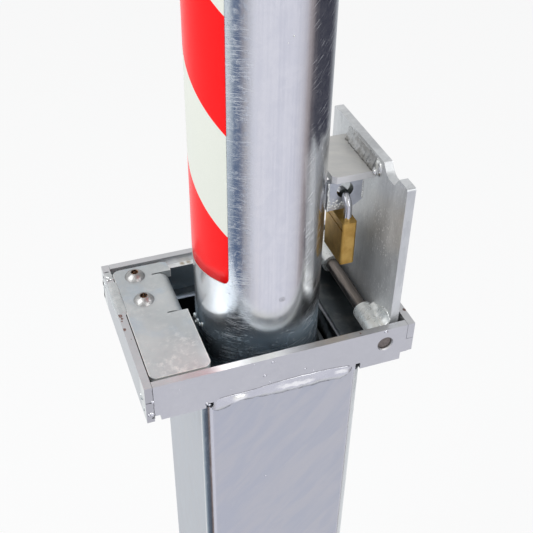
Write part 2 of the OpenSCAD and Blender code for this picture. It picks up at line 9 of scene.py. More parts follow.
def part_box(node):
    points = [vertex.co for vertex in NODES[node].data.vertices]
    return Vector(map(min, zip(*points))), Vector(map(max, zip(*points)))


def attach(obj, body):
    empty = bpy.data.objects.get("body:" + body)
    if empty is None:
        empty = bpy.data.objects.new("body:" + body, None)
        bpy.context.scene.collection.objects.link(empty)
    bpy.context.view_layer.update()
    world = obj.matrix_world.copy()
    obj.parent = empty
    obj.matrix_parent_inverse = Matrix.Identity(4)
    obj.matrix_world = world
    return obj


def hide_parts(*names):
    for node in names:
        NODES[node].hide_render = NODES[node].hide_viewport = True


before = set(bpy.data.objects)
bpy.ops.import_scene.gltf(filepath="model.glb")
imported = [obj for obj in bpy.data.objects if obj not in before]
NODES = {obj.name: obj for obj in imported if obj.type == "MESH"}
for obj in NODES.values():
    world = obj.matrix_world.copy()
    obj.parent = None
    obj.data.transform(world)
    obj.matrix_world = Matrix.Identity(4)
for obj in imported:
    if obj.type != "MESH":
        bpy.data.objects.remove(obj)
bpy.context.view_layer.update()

MM = 0.001
random.seed(7)

# Places taken from the frame, in metres
BAR_LO, BAR_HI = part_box("frame_front_bar")
LEFT_LO, LEFT_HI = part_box("frame_left_bar")
TUBE_LO, TUBE_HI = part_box("post_tube")
LID_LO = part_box("lid_plate")[0]
AXLE_LO, AXLE_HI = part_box("hinge_axle")
AXLE_AT = (AXLE_LO + AXLE_HI) / 2
GROUND = BAR_HI.z
POST_R = (TUBE_HI.x - TUBE_LO.x) / 2


def mm(*v):
    """A point in millimetres, its height above ground, as metres in the row frame."""
    return Vector((v[0] * MM, v[1] * MM, v[2] * MM + GROUND))


# Camera: fitted to the frame's corners and edges and to the tube's and sleeve's outlines in the photo
CAM_AT = mm(-189.05, -524.95, 479.04)
CAM_YAW, CAM_PITCH, CAM_ROLL = 0.359, 0.680, 0.018
CAM_FOCAL_PX = 899.7
IMAGE_PX = 533


def make_camera():
    forward = Vector((
        math.sin(CAM_YAW) * math.cos(CAM_PITCH),
        math.cos(CAM_YAW) * math.cos(CAM_PITCH),
        -math.sin(CAM_PITCH),
    ))
    right = Vector((math.cos(CAM_YAW), -math.sin(CAM_YAW), 0))
    up = right.cross(forward)
    r2 = math.cos(CAM_ROLL) * right + math.sin(CAM_ROLL) * up
    u2 = -math.sin(CAM_ROLL) * right + math.cos(CAM_ROLL) * up
    data = bpy.data.cameras.new("camera")
    data.sensor_width = 36
    data.lens = CAM_FOCAL_PX * 36 / IMAGE_PX
    data.clip_start = 0.01
    data.clip_end = 50
    cam = bpy.data.objects.new("camera", data)
    cam.matrix_world = Matrix((
        (r2.x, u2.x, -forward.x, CAM_AT.x),
        (r2.y, u2.y, -forward.y, CAM_AT.y),
        (r2.z, u2.z, -forward.z, CAM_AT.z),
        (0, 0, 0, 1),
    ))
    bpy.context.scene.collection.objects.link(cam)
    bpy.context.scene.camera = cam


class Graph:
    """Short calls for building one node tree."""

    def __init__(self, tree):
        self.tree = tree
        self.tree.nodes.clear()

    def node(self, kind, **settings):
        n = self.tree.nodes.new(kind)
        for key, value in settings.items():
            setattr(n, key, value)
        return n

    def link(self, out, into):
        self.tree.links.new(out, into)

    def put(self, value, socket):
        if isinstance(value, bpy.types.NodeSocket):
            self.link(value, socket)
        elif isinstance(value, (tuple, list, Vector)):
            is_colour = len(value) == 3 and len(socket.default_value) == 4
            socket.default_value = (*value, 1) if is_colour else value
        else:
            socket.default_value = value

    def math(self, op, a, b=0.0, clamp=False):
        n = self.node("ShaderNodeMath", operation=op, use_clamp=clamp)
        self.put(a, n.inputs[0])
        self.put(b, n.inputs[1])
        return n.outputs[0]

    def fold(self, op, first, others):
        for other in others:
            first = self.math(op, first, other)
        return first

    def times(self, first, *others):
        return self.fold("MULTIPLY", first, others)

    def plus(self, first, *others):
        return self.fold("ADD", first, others)

    def most(self, first, *others):
        return self.fold("MAXIMUM", first, others)

    def least(self, first, *others):
        return self.fold("MINIMUM", first, others)

    def less(self, a, b):
        return self.math("SUBTRACT", a, b)

    def size(self, a):
        return self.math("ABSOLUTE", a)

    def mix(self, share, a, b):
        """Colours a and b mixed."""
        n = self.node("ShaderNodeMix", data_type="RGBA")
        for value, socket in zip((share, a, b), (n.inputs[0], n.inputs[6], n.inputs[7])):
            self.put(value, socket)
        return n.outputs[2]

    def blend(self, share, a, b):
        """Numbers a and b mixed."""
        n = self.node("ShaderNodeMix", data_type="FLOAT")
        for value, socket in zip((share, a, b), (n.inputs[0], n.inputs[2], n.inputs[3])):
            self.put(value, socket)
        return n.outputs[0]

    def tint(self, colour, where, amount, towards):
        """A colour that is partly replaced in some places."""
        return self.mix(self.times(where, amount), colour, towards)

    def ramp(self, share, stops):
        n = self.node("ShaderNodeValToRGB")
        while len(n.color_ramp.elements) < len(stops):
            n.color_ramp.elements.new(0.5)
        for e, (at, colour) in zip(n.color_ramp.elements, stops):
            e.position = at
            e.color = (*colour, 1) if isinstance(colour, tuple) else (colour, colour, colour, 1)
        self.link(share, n.inputs[0])
        return n.outputs[0]

    def span(self, value, lo, hi, to_lo=0.0, to_hi=1.0):
        """A soft step from to_lo at lo to to_hi at hi, level outside them."""
        n = self.node("ShaderNodeMapRange", interpolation_type="SMOOTHSTEP")
        for v, socket in zip((value, lo, hi, to_lo, to_hi), n.inputs):
            self.put(v, socket)
        return n.outputs[0]

    def fade(self, value, lo, hi):
        """A soft step down, from 1 below lo to 0 above hi."""
        return self.span(value, lo, hi, 1.0, 0.0)

    def window(self, value, start, full, still, end):
        """1 between full and still, 0 outside start and end."""
        return self.times(self.span(value, start, full), self.fade(value, still, end))

    def coords(self, scale=(1, 1, 1), turn=(0, 0, 0), shift=(0, 0, 0)):
        tc = self.node("ShaderNodeTexCoord")
        spin = self.node("ShaderNodeMapping")
        spin.inputs["Rotation"].default_value = turn
        spin.inputs["Location"].default_value = shift
        self.link(tc.outputs["Object"], spin.inputs[0])
        m = self.node("ShaderNodeMapping")
        m.inputs["Scale"].default_value = scale
        self.link(spin.outputs[0], m.inputs[0])
        return m.outputs[0]

    def noise(self, vec, scale, detail=4.0, rough=0.55, distort=0.0):
        n = self.node("ShaderNodeTexNoise")
        self.link(vec, n.inputs["Vector"])
        n.inputs["Scale"].default_value = scale
        n.inputs["Detail"].default_value = detail
        n.inputs["Roughness"].default_value = rough
        n.inputs["Distortion"].default_value = distort
        return n.outputs[0]

    def cells(self, vec, scale):
        n = self.node("ShaderNodeTexVoronoi")
        self.link(vec, n.inputs["Vector"])
        n.inputs["Scale"].default_value = scale
        return n.outputs["Color"]

    def bump(self, height, strength, distance, normal=None):
        n = self.node("ShaderNodeBump")
        n.inputs["Strength"].default_value = strength
        n.inputs["Distance"].default_value = distance
        self.link(height, n.inputs["Height"])
        if normal is not None:
            self.link(normal, n.inputs["Normal"])
        return n.outputs[0]


def new_material(name):
    m = bpy.data.materials.new(name)
    m.use_nodes = True
    g = Graph(m.node_tree)
    out = g.node("ShaderNodeOutputMaterial")
    bsdf = g.node("ShaderNodeBsdfPrincipled")
    g.link(bsdf.outputs[0], out.inputs[0])
    return m, g, bsdf


def wire(g, bsdf, colour, roughness, normal):
    g.link(colour, bsdf.inputs["Base Color"])
    g.link(roughness, bsdf.inputs["Roughness"])
    g.link(normal, bsdf.inputs["Normal"])


# Studio: plain floor, even world, two soft lamps. Metal mirrors a tent whose walls have dark gaps.
# Each list goes round it in parts of a turn from +X: STEEP for rays that fall faster than LOW_RISE,
# LOW from there to the horizon, HIGH above it. The strip is one pale wall in the upper part of LOW.
LILAC = (0.90, 0.90, 0.99)
PALE = (0.94, 0.96, 0.96)
DARK = (0.040, 0.042, 0.065)
BLUE = (0.10, 0.15, 0.26)
TENT_STEEP = [
    (0.000, PALE), (0.330, PALE), (0.400, (0.50, 0.58, 0.64)), (0.500, (0.12, 0.17, 0.24)),
    (0.620, (0.06, 0.07, 0.10)), (0.675, (0.25, 0.17, 0.14)), (0.705, (0.72, 0.70, 0.76)),
    (0.725, LILAC), (0.840, LILAC), (0.858, (0.52, 0.49, 0.48)), (0.885, PALE), (1.000, PALE),
]
TENT_LOW = [
    (0.000, DARK), (0.075, DARK), (0.135, (0.45, 0.47, 0.5)), (0.20, (0.9, 0.93, 0.95)),
    (0.520, (0.95, 0.98, 1.0)), (0.545, (0.50, 0.56, 0.64)), (0.575, BLUE), (0.614, BLUE),
    (0.634, (0.50, 0.43, 0.40)), (0.652, (0.72, 0.69, 0.71)), (0.680, LILAC),
    (0.850, (0.84, 0.84, 0.94)), (0.895, (0.70, 0.69, 0.76)), (0.918, (0.42, 0.36, 0.36)),
    (0.950, DARK), (1.000, DARK),
]
TENT_HIGH = [
    (0.000, 0.50), (0.12, 0.74), (0.25, 0.80), (0.40, 1.0), (0.55, 1.0), (0.70, 0.85), (0.85, 0.62),
    (1.0, 0.50),
]
STRIP_TURN = (0.540, 0.552, 0.574, 0.586)
STRIP_RISE = (-0.62, -0.46)
STRIP_COLOUR = (0.95, 0.98, 0.95)
LOW_RISE = (-0.74, -0.66)
HIGH_RISE = (-0.10, 0.25)
ROOM_LIGHT = (0.66, 0.67, 0.68)


def make_world():
    world = bpy.data.worlds.new("studio")
    bpy.context.scene.world = world
    world.use_nodes = True
    g = Graph(world.node_tree)
    out = g.node("ShaderNodeOutputWorld")
    tc = g.node("ShaderNodeTexCoord")
    split = g.node("ShaderNodeSeparateXYZ")
    g.link(tc.outputs["Generated"], split.inputs[0])
    rise = split.outputs[2]
    azimuth = g.math("ARCTAN2", split.outputs[1], split.outputs[0])
    turn = g.math("FRACT", g.plus(g.math("DIVIDE", azimuth, 2 * math.pi), 1.0))
    strip = g.times(g.window(turn, *STRIP_TURN), g.span(rise, *STRIP_RISE))
    low = g.mix(strip, g.ramp(turn, TENT_LOW), STRIP_COLOUR)
    below = g.mix(g.span(rise, *LOW_RISE), g.ramp(turn, TENT_STEEP), low)
    tent = g.mix(g.span(rise, *HIGH_RISE), below, g.ramp(turn, TENT_HIGH))
    path = g.node("ShaderNodeLightPath")
    plain = g.mix(path.outputs["Is Camera Ray"], ROOM_LIGHT, (1, 1, 1))
    seen = g.mix(path.outputs["Is Glossy Ray"], plain, tent)
    clear = g.mix(path.outputs["Is Transmission Ray"], seen, (1, 1, 1))
    back = g.node("ShaderNodeBackground")
    g.link(clear, back.inputs["Color"])
    back.inputs["Strength"].default_value = 1.0
    g.link(back.outputs[0], out.inputs[0])


def area_lamp(name, at, towards, size, watts):
    data = bpy.data.lights.new(name, "AREA")
    data.shape = "RECTANGLE"
    data.size, data.size_y = size
    data.energy = watts
    lamp = bpy.data.objects.new(name, data)
    lamp.location = at
    lamp.rotation_mode = "QUATERNION"
    lamp.rotation_quaternion = (towards - at).to_track_quat("-Z", "Y")
    bpy.context.scene.collection.objects.link(lamp)


def make_lamps():
    aim = mm(0, 0, 50)
    area_lamp("key_lamp", aim + Vector((-1.35, -0.15, 1.3)), aim, size=(1.3, 1.3), watts=22)
    area_lamp("fill_lamp", aim + Vector((0.9, -1.6, 0.9)), aim, size=(1.6, 1.2), watts=12)


FLOOR_SIZE = 30
FLOOR_COLOUR = (0.86, 0.86, 0.86, 1)
FLOOR_GLOW = 0.82


def make_floor():
    """Plain pale floor, which looks nearly white to the camera and keeps the shadows."""
    bpy.ops.mesh.primitive_plane_add(size=FLOOR_SIZE, location=(0, 0, 0))
    floor = bpy.context.object
    floor.name = "floor"
    m, g, bsdf = new_material("floor")
    bsdf.inputs["Base Color"].default_value = FLOOR_COLOUR
    bsdf.inputs["Roughness"].default_value = 0.9
    bsdf.inputs["Specular IOR Level"].default_value = 0.0
    glow = g.node("ShaderNodeEmission")
    glow.inputs[0].default_value = (1, 1, 1, 1)
    path = g.node("ShaderNodeLightPath")
    mix = g.node("ShaderNodeMixShader")
    g.link(g.times(path.outputs["Is Camera Ray"], FLOOR_GLOW), mix.inputs[0])
    g.link(bsdf.outputs[0], mix.inputs[1])
    g.link(glow.outputs[0], mix.inputs[2])
    out = next(n for n in g.tree.nodes if n.type == "OUTPUT_MATERIAL")
    g.link(mix.outputs[0], out.inputs[0])
    floor.data.materials.append(m)
    floor.visible_glossy = False


class Place:
    """Object coordinates of one material, as separate numbers."""

    def __init__(self, g):
        self.g = g
        self.tc = g.node("ShaderNodeTexCoord")
        split = g.node("ShaderNodeSeparateXYZ")
        g.link(self.tc.outputs["Object"], split.inputs[0])
        self.x, self.y, self.z = split.outputs

    def normal(self, axis):
        split = self.g.node("ShaderNodeSeparateXYZ")
        self.g.link(self.tc.outputs["Normal"], split.inputs[0])
        return split.outputs[axis]

    def away(self, point):
        """Distance from a point in millimetres."""
        n = self.g.node("ShaderNodeVectorMath", operation="DISTANCE")
        self.g.link(self.tc.outputs["Object"], n.inputs[0])
        n.inputs[1].default_value = mm(*point)
        return n.outputs["Value"]

    def near(self, points, inner, outer, ragged=None):
        """1 at any of the points (millimetres, height above ground), 0 beyond the outer distance."""
        best = self.g.least(*[self.away(p) for p in points])
        if ragged is not None:
            best = self.g.plus(best, ragged)
        return self.g.fade(best, inner * MM, outer * MM)


# Colour of the painted glints
GLINT_COLOUR = (0.93, 0.94, 0.95)
BLOTCH_COLOUR = (0.84, 0.82, 0.79)


def painted_glints(g, at):
    """Painted glints: small bright dots that come in swarms."""
    return g.times(g.span(g.noise(g.coords(scale=(1, 1, 0.8)), 520, 2, 0.5), 0.585, 0.64),
                   g.span(g.noise(at, 26, 3, 0.5), 0.36, 0.54))


# Galvanised steel: zinc crystals, clouds, fine grain and a soft waviness. crystal and cloud are noise
# scales, wave and grain strengths of relief; paint adds what one node shows at certain places.
def zinc(name, light, dark, rough=(0.30, 0.46), crystal=260, crystal_mix=0.5, cloud=14, wave=0.35,
         grain=0.25, metal=0.92, stretch=(1, 1, 1), turn=(0, 0, 0), blotch=0.0, glint_share=0.0, paint=None):
    m, g, bsdf = new_material(name)
    at = g.coords(scale=stretch, turn=turn)
    plain_at = g.coords()
    cell_value = g.node("ShaderNodeSeparateColor")
    g.link(g.cells(at, crystal), cell_value.inputs[0])
    soft_cloud = g.span(g.noise(at, cloud, 5, 0.6, 0.6), 0.32, 0.68)
    fine = g.noise(plain_at, 900, 3, 0.7)
    spread = g.blend(crystal_mix, soft_cloud, cell_value.outputs[0])
    colour = g.mix(spread, dark, light)
    if blotch > 0:
        patches = g.times(g.span(g.noise(plain_at, 150, 6, 0.68, 0.3), 0.46, 0.66),
                          g.span(g.noise(plain_at, 22, 3, 0.5), 0.38, 0.60))
        colour = g.tint(colour, patches, blotch, BLOTCH_COLOUR)
    # Painted glints as bright dots
    if glint_share > 0:
        colour = g.tint(colour, painted_glints(g, plain_at), glint_share, GLINT_COLOUR)
    roughness = g.plus(rough[0], g.times(spread, rough[1] - rough[0]))
    roughness = g.plus(roughness, g.times(fine, 0.06))
    if paint is not None:
        colour, roughness = paint(g, Place(g), colour, roughness)
    bsdf.inputs["Metallic"].default_value = metal
    swell = g.bump(g.noise(at, 55, 3, 0.5, 0.4), wave, 1.2 * MM)
    tooth = g.bump(fine, grain, 0.1 * MM, swell)
    wire(g, bsdf, colour, roughness, g.bump(cell_value.outputs[1], 0.08, 0.2 * MM, tooth))
    return m


def short_lines(g, u, v, lean, along, across, lo, hi):
    """Thin broken lines on the surface (u, v), leaning by an angle; 1 on a line."""
    a = g.plus(g.times(u, math.cos(lean)), g.times(v, math.sin(lean)))
    b = g.less(g.times(v, math.cos(lean)), g.times(u, math.sin(lean)))
    join = g.node("ShaderNodeCombineXYZ")
    g.link(g.times(a, along), join.inputs[0])
    g.link(g.times(b, across), join.inputs[1])
    return g.span(g.noise(join.outputs[0], 1.0, 1, 0.4, 0.0), lo, hi)


# Places on the tube, as angles about its axis: beside the sheet, and the side towards the lid
TUBE_LEFT = (-2.50, -2.30, -2.08, -1.92)
TUBE_RIGHT = (-1.30, -1.08, 0.4, 0.7)
TUBE_FOOT = (GROUND - 8 * MM, GROUND + 12 * MM)
# Painted highlight: the pale upright stripe beside the lid; its angles at its mid height, how it leans, and
# its two ends
HIGHLIGHT_RUN_AT = (-1.28, -1.22, -1.08, -1.00)
HIGHLIGHT_RUN_MID = GROUND + 160 * MM
HIGHLIGHT_RUN_LEAN = 1.2
HIGHLIGHT_RUN_START = (GROUND + 20 * MM, GROUND + 45 * MM)
HIGHLIGHT_RUN_END = (GROUND + 145 * MM, GROUND + 170 * MM)


# The tube's zinc is drawn smooth; it has mottled sides, upright streaks and fine scratches
def tube_zinc():
    m, g, bsdf = new_material("zinc_post")
    place = Place(g)
    at = g.coords()
    angle = g.math("ARCTAN2", place.y, place.x)
    u = g.times(angle, POST_R)
    streak = g.noise(g.coords(scale=(420, 420, 6)), 1.0, 3, 0.6)
    clouds = g.noise(at, 70, 5, 0.65, 1.0)
    spread = g.span(g.plus(g.times(streak, 0.5), g.times(clouds, 0.5)), 0.35, 0.65)
    colour = g.mix(spread, (0.66, 0.67, 0.70), (0.74, 0.745, 0.76))
    left = g.window(angle, *TUBE_LEFT)
    right = g.window(angle, *TUBE_RIGHT)
    foot = g.fade(place.z, *TUBE_FOOT)
    sides = g.most(left, g.times(g.most(right, foot), 0.14))
    flat = g.most(short_lines(g, u, place.z, 0.10, 38, 1700, 0.59, 0.68),
                  short_lines(g, u, place.z, -0.20, 50, 1900, 0.61, 0.70))
    slant = g.most(short_lines(g, u, place.z, 0.62, 42, 1500, 0.64, 0.72),
                   short_lines(g, u, place.z, 0.38, 55, 1700, 0.66, 0.74))
    lines = g.plus(g.times(flat, g.most(left, foot)), g.times(slant, right))
    lines = g.math("MULTIPLY", lines, g.span(g.noise(at, 45, 3, 0.6), 0.38, 0.60), clamp=True)
    mottle = g.span(g.noise(g.coords(scale=(1, 1, 1.5)), 210, 6, 0.74, 0.2), 0.49, 0.72)
    mottle = g.times(mottle, sides)
    # Painted reflection: a blue tint beside the sheet, and a stronger one at the foot
    colour = g.tint(colour, left, 0.4, (0.56, 0.66, 0.80))
    colour = g.tint(colour, foot, 0.8, (0.50, 0.66, 0.80))
    colour = g.tint(colour, lines, 0.75, (0.86, 0.89, 0.93))
    haze = g.plus(g.times(mottle, 0.09), g.times(lines, 0.20))
    roughness = g.plus(0.15, g.times(spread, 0.08), haze)
    wear_and_highlight = g.plus(g.times(mottle, 0.30), g.times(lines, 0.38))
    # Less metal, so paler, at the foot towards the lid side
    foot_paler = g.times(foot, g.span(angle, -1.75, -1.15, 0.08, 0.34))
    # Painted highlight: the pale upright stripe beside the lid
    lean = g.plus(angle, g.times(g.less(place.z, HIGHLIGHT_RUN_MID), HIGHLIGHT_RUN_LEAN))
    run = g.times(g.window(lean, *HIGHLIGHT_RUN_AT), g.span(place.z, *HIGHLIGHT_RUN_START), g.fade(place.z, *HIGHLIGHT_RUN_END))
    wear_and_highlight = g.plus(wear_and_highlight, g.most(foot_paler, g.times(run, 0.30)))
    g.link(g.math("SUBTRACT", 0.97, wear_and_highlight, clamp=True), bsdf.inputs["Metallic"])
    swell = g.bump(streak, 0.04, 0.6 * MM)
    tooth = g.bump(g.noise(at, 800, 3, 0.7), 0.10, 0.1 * MM, swell)
    patch = g.bump(mottle, 0.20, 0.2 * MM, tooth)
    wire(g, bsdf, colour, roughness, g.bump(lines, 0.12, 0.1 * MM, patch))
    return m


def axle_steel():
    m, g, bsdf = new_material("axle_steel")
    lines = g.noise(g.coords(scale=(900, 60, 900)), 1.0, 4, 0.6)
    bare = (0.24, 0.21, 0.19)
    colour = g.mix(g.span(lines, 0.35, 0.7), [0.62 * c for c in bare], bare)
    bsdf.inputs["Metallic"].default_value = 0.9
    wire(g, bsdf, colour, g.plus(0.24, g.times(lines, 0.15)), g.bump(lines, 0.15, 0.2 * MM))
    return m


SOCKET_R = 3.4 * MM


# Plain steel heads with a rusty socket
def screw_steel():
    m, g, bsdf = new_material("screw_steel")
    place = Place(g)
    lo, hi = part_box("retaining_screws")
    mid_x = (lo.x + hi.x) / 2
    head_r = (hi.x - lo.x) / 2
    dx = g.less(place.x, mid_x)
    near = g.least(g.size(g.less(place.y, lo.y + head_r)), g.size(g.less(place.y, hi.y - head_r)))
    out = g.math("SQRT", g.plus(g.times(dx, dx), g.times(near, near)))
    at = g.coords()
    patch = g.noise(at, 900, 3, 0.6)
    ring = g.fade(g.plus(out, g.times(patch, 1.2 * MM)), SOCKET_R, SOCKET_R + 0.8 * MM)
    rust = g.mix(g.span(patch, 0.50, 0.62), (0.012, 0.008, 0.006), (0.32, 0.12, 0.025))
    stain = g.mix(g.span(g.noise(at, 240, 3, 0.6), 0.35, 0.7), (0.30, 0.30, 0.30), (0.44, 0.44, 0.435))
    g.link(g.blend(ring, 0.92, 0.1), bsdf.inputs["Metallic"])
    wire(g, bsdf, g.mix(ring, stain, rust), g.blend(ring, 0.36, 0.85), g.bump(patch, 0.12, 0.2 * MM))
    return m


def brass(name, light, dark):
    m, g, bsdf = new_material(name)
    lines = g.noise(g.coords(scale=(500, 500, 4000)), 1.0, 3, 0.6)
    clouds = g.span(g.noise(g.coords(), 120, 4, 0.6), 0.3, 0.7)
    colour = g.tint(g.mix(clouds, dark, light), lines, 0.35, [0.6 * c for c in light])
    bsdf.inputs["Metallic"].default_value = 0.88
    wire(g, bsdf, colour, g.plus(0.27, g.times(lines, 0.2)), g.bump(lines, 0.2, 0.1 * MM))
    return m


def chrome():
    m, g, bsdf = new_material("chrome")
    dust = g.noise(g.coords(), 600, 3, 0.6)
    g.link(g.mix(dust, (0.45, 0.46, 0.49), (0.62, 0.62, 0.65)), bsdf.inputs["Base Color"])
    g.link(g.plus(0.06, g.times(dust, 0.08)), bsdf.inputs["Roughness"])
    bsdf.inputs["Metallic"].default_value = 1.0
    return m


# Rust, dross, the dark lines of open seams, and painted shade in creases
def dull(name, light, dark):
    m, g, bsdf = new_material(name)
    grain = g.noise(g.coords(), 1400, 3, 0.6)
    colour = g.mix(g.span(grain, 0.4, 0.6), dark, light)
    wire(g, bsdf, colour, g.plus(0.7, g.times(grain, 0.2)), g.bump(grain, 0.3, 0.1 * MM))
    return m


# Red and white reflective sheet: the bands are worked out from the place on the tube
SHEET_EDGE_DEG = 225.6
SHEET_SPAN_DEG = 160
SHEET_LO, SHEET_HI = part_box("reflective_sheet")
BAND_H = 82.7 * MM
BAND_TOP = GROUND + 91.8 * MM
BAND_SLOPE = 0.88


def sheet_material():
    m, g, bsdf = new_material("reflective_sheet")
    place = Place(g)
    angle = g.math("ARCTAN2", place.y, place.x)
    unwound = g.math("MODULO", g.plus(angle, 2 * math.pi), 2 * math.pi)
    round_way = g.times(g.less(math.radians(SHEET_EDGE_DEG), unwound), POST_R)
    rise = g.less(place.z, g.times(round_way, BAND_SLOPE))
    phase = g.math("FRACT", g.plus(g.math("DIVIDE", g.less(rise, BAND_TOP), 2 * BAND_H), 20.0))
    red_side = g.size(g.less(phase, 0.75))
    is_red = g.fade(red_side, 0.2485, 0.2515)
    edge = g.least(g.less(place.z, SHEET_LO.z), g.less(SHEET_HI.z, place.z))
    is_red = g.times(is_red, g.span(edge, 0.3 * MM, 0.8 * MM))
    at = g.coords()
    speckle = g.noise(at, 1500, 2, 0.5)
    red = g.mix(speckle, (0.90, 0.006, 0.008), (0.98, 0.014, 0.016))
    pale = g.mix(speckle, (0.70, 0.725, 0.66), (0.77, 0.79, 0.725))
    bsdf.inputs["Specular IOR Level"].default_value = 0.12
    bsdf.inputs["Coat Weight"].default_value = 0.02
    bsdf.inputs["Coat Roughness"].default_value = 0.08
    swell = g.bump(g.noise(at, 60, 2, 0.5), 0.05, 0.6 * MM)
    wire(g, bsdf, g.mix(is_red, pale, red), g.blend(is_red, 0.45, 0.25), swell)
    return m


def dress(node, material, bevel):
    """Gives a CAD node its material, and rounds its sharp edges."""
    obj = NODES[node]
    obj.data.materials.clear()
    obj.data.materials.append(material)
    if bevel > 0:
        mod = obj.modifiers.new("edge", "BEVEL")
        mod.width = bevel * MM
        mod.segments = 2
        mod.limit_method = "ANGLE"
        mod.angle_limit = math.radians(40)


def piece(name, bm, material, body, replaces=()):
    """Makes a piece from a bmesh and hands it to the frame."""
    bmesh.ops.recalc_face_normals(bm, faces=bm.faces)
    mesh = bpy.data.meshes.new(name)
    bm.to_mesh(mesh)
    bm.free()
    for p in mesh.polygons:
        p.use_smooth = True
    mesh.materials.append(material)
    obj = bpy.data.objects.new(name, mesh)
    bpy.context.scene.collection.objects.link(obj)
    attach(obj, body)
    if replaces:
        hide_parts(*replaces)


def wobble(p, size, amount):
    """A smooth number from -amount to amount that changes over the given size."""
    return amount * noise.noise(p / (size * MM))


def between(x, table):
    """Reads a value at x from rows of (x, value...), with straight lines between them."""
    if x <= table[0][0]:
        return table[0][1:]
    for a, b in zip(table, table[1:]):
        if x <= b[0]:
            t = (x - a[0]) / (b[0] - a[0])
            return tuple(p + (q - p) * t for p, q in zip(a[1:], b[1:]))
    return table[-1][1:]


def ease(t):
    """A soft step from 0 to 1."""
    t = max(0.0, min(1.0, t))
    return t * t * (3 - 2 * t)


def add_skin(bm, rows):
    """Adds a surface through rows of points, closed at its back by fans over its two ends."""
    made = [[bm.verts.new(p) for p in row] for row in rows]
    for a, b in zip(made, made[1:]):
        for i in range(len(a) - 1):
            bm.faces.new((a[i], a[i + 1], b[i + 1], b[i]))
        bm.faces.new((a[-1], a[0], b[0], b[-1]))
    bm.faces.new(made[0])
    bm.faces.new(list(reversed(made[-1])))


def add_blob(bm, at, radii, rough):
    """Adds a lump of zinc at a point in millimetres."""
    scale = Matrix.Diagonal((radii[0] * MM, radii[1] * MM, radii[2] * MM, 1))
    ball = bmesh.ops.create_icosphere(bm, subdivisions=2, radius=1.0)
    centre = mm(*at)
    for v in ball["verts"]:
        swell = 1 + rough * noise.noise(v.co * 1.6 + centre * 900)
        v.co = centre + scale @ (v.co * swell)


def add_ribbon(bm, points, out, width, closed=False):
    """Adds a thin line that lies on a surface; out is the way off that surface."""
    pts = [mm(*p) for p in points]
    out = Vector(out)
    last = len(pts) - 1
    sides = []
    for i, p in enumerate(pts):
        before = pts[i - 1] if i > 0 else (pts[last] if closed else pts[0])
        after = pts[i + 1] if i < last else (pts[0] if closed else pts[last])
        across = (after - before).cross(out).normalized() * width * MM / 2
        across *= 1 + wobble(p, 1.5, 0.6)
        lift = out * 0.04 * MM
        sides.append([bm.verts.new(p + across + lift), bm.verts.new(p - across + lift)])
    pairs = list(zip(sides, sides[1:])) + ([(sides[-1], sides[0])] if closed else [])
    for a, b in pairs:
        bm.faces.new((a[0], a[1], b[1], b[0]))


SHEET_OUTER = 0.42 * MM
SHEET_INNER = 0.10 * MM
SHEET_CORNER = 5 * MM


# The sheet is one film with rounded corners, wrapped round the tube
def make_sheet(material):
    bm = bmesh.new()
    outer_r = POST_R + SHEET_OUTER
    inner_r = POST_R + SHEET_INNER
    corner = SHEET_CORNER
    length = math.radians(SHEET_SPAN_DEG) * POST_R
    steps = [corner * (1 - math.cos(math.pi / 2 * i / 6)) for i in range(7)]
    middle = [corner + (length - 2 * corner) * i / 60 for i in range(1, 60)]
    ways = steps + middle + [length - w for w in reversed(steps)]
    rows = 40

    def ring(r):
        grid = []
        for way in ways:
            edge = min(way, length - way)
            cut = corner - math.sqrt(max(0.0, corner ** 2 - max(0.0, corner - edge) ** 2))
            angle = math.radians(SHEET_EDGE_DEG) - way / POST_R
            x, y = r * math.cos(angle), r * math.sin(angle)
            lo, hi = SHEET_LO.z + cut, SHEET_HI.z - cut
            grid.append([bm.verts.new((x, y, lo + (hi - lo) * j / rows)) for j in range(rows + 1)])
        return grid

    outer, inner = ring(outer_r), ring(inner_r)
    for grid in (outer, inner):
        for a, b in zip(grid, grid[1:]):
            for j in range(rows):
                bm.faces.new((a[j], a[j + 1], b[j + 1], b[j]))
    for a, b, c, d in zip(outer, outer[1:], inner, inner[1:]):
        bm.faces.new((a[0], b[0], d[0], c[0]))
        bm.faces.new((a[rows], b[rows], d[rows], c[rows]))
    for k in (0, -1):
        for j in range(rows):
            bm.faces.new((outer[k][j], outer[k][j + 1], inner[k][j + 1], inner[k][j]))
    piece("banded_sheet", bm, material, "post", ("reflective_sheet", "reflective_stripes"))


# Front bead, in millimetres from the tube's axis and above ground: x, upper edge, lower edge, thickness
BEAD = [
    (-62.5, -37.5, -39.5, 0.2),
    (-60.0, -32.5, -41.2, 0.8),
    (-57.6, -29.2, -41.8, 1.1),
    (-53.0, -28.6, -41.4, 1.2),
    (-46.0, -28.6, -39.4, 1.5),
    (-42.0, -28.6, -37.8, 1.9),
    (-34.0, -28.7, -37.8, 1.3),
    (-24.0, -28.4, -38.6, 1.2),
    (-14.7, -27.5, -39.6, 1.3),
    (-2.0, -26.7, -39.8, 1.5),
    (8.0, -26.6, -40.4, 2.0),
    (17.0, -26.7, -40.9, 2.1),
    (26.0, -26.9, -40.4, 1.4),
    (34.0, -27.2, -40.6, 1.3),
    (44.0, -28.3, -42.6, 1.6),
    (50.0, -29.2, -39.0, 1.7),
    (53.5, -31.5, -34.8, 0.3),
]
BEAD_SWELL = 1.35
BEAD_CREASE = (-57, 52)


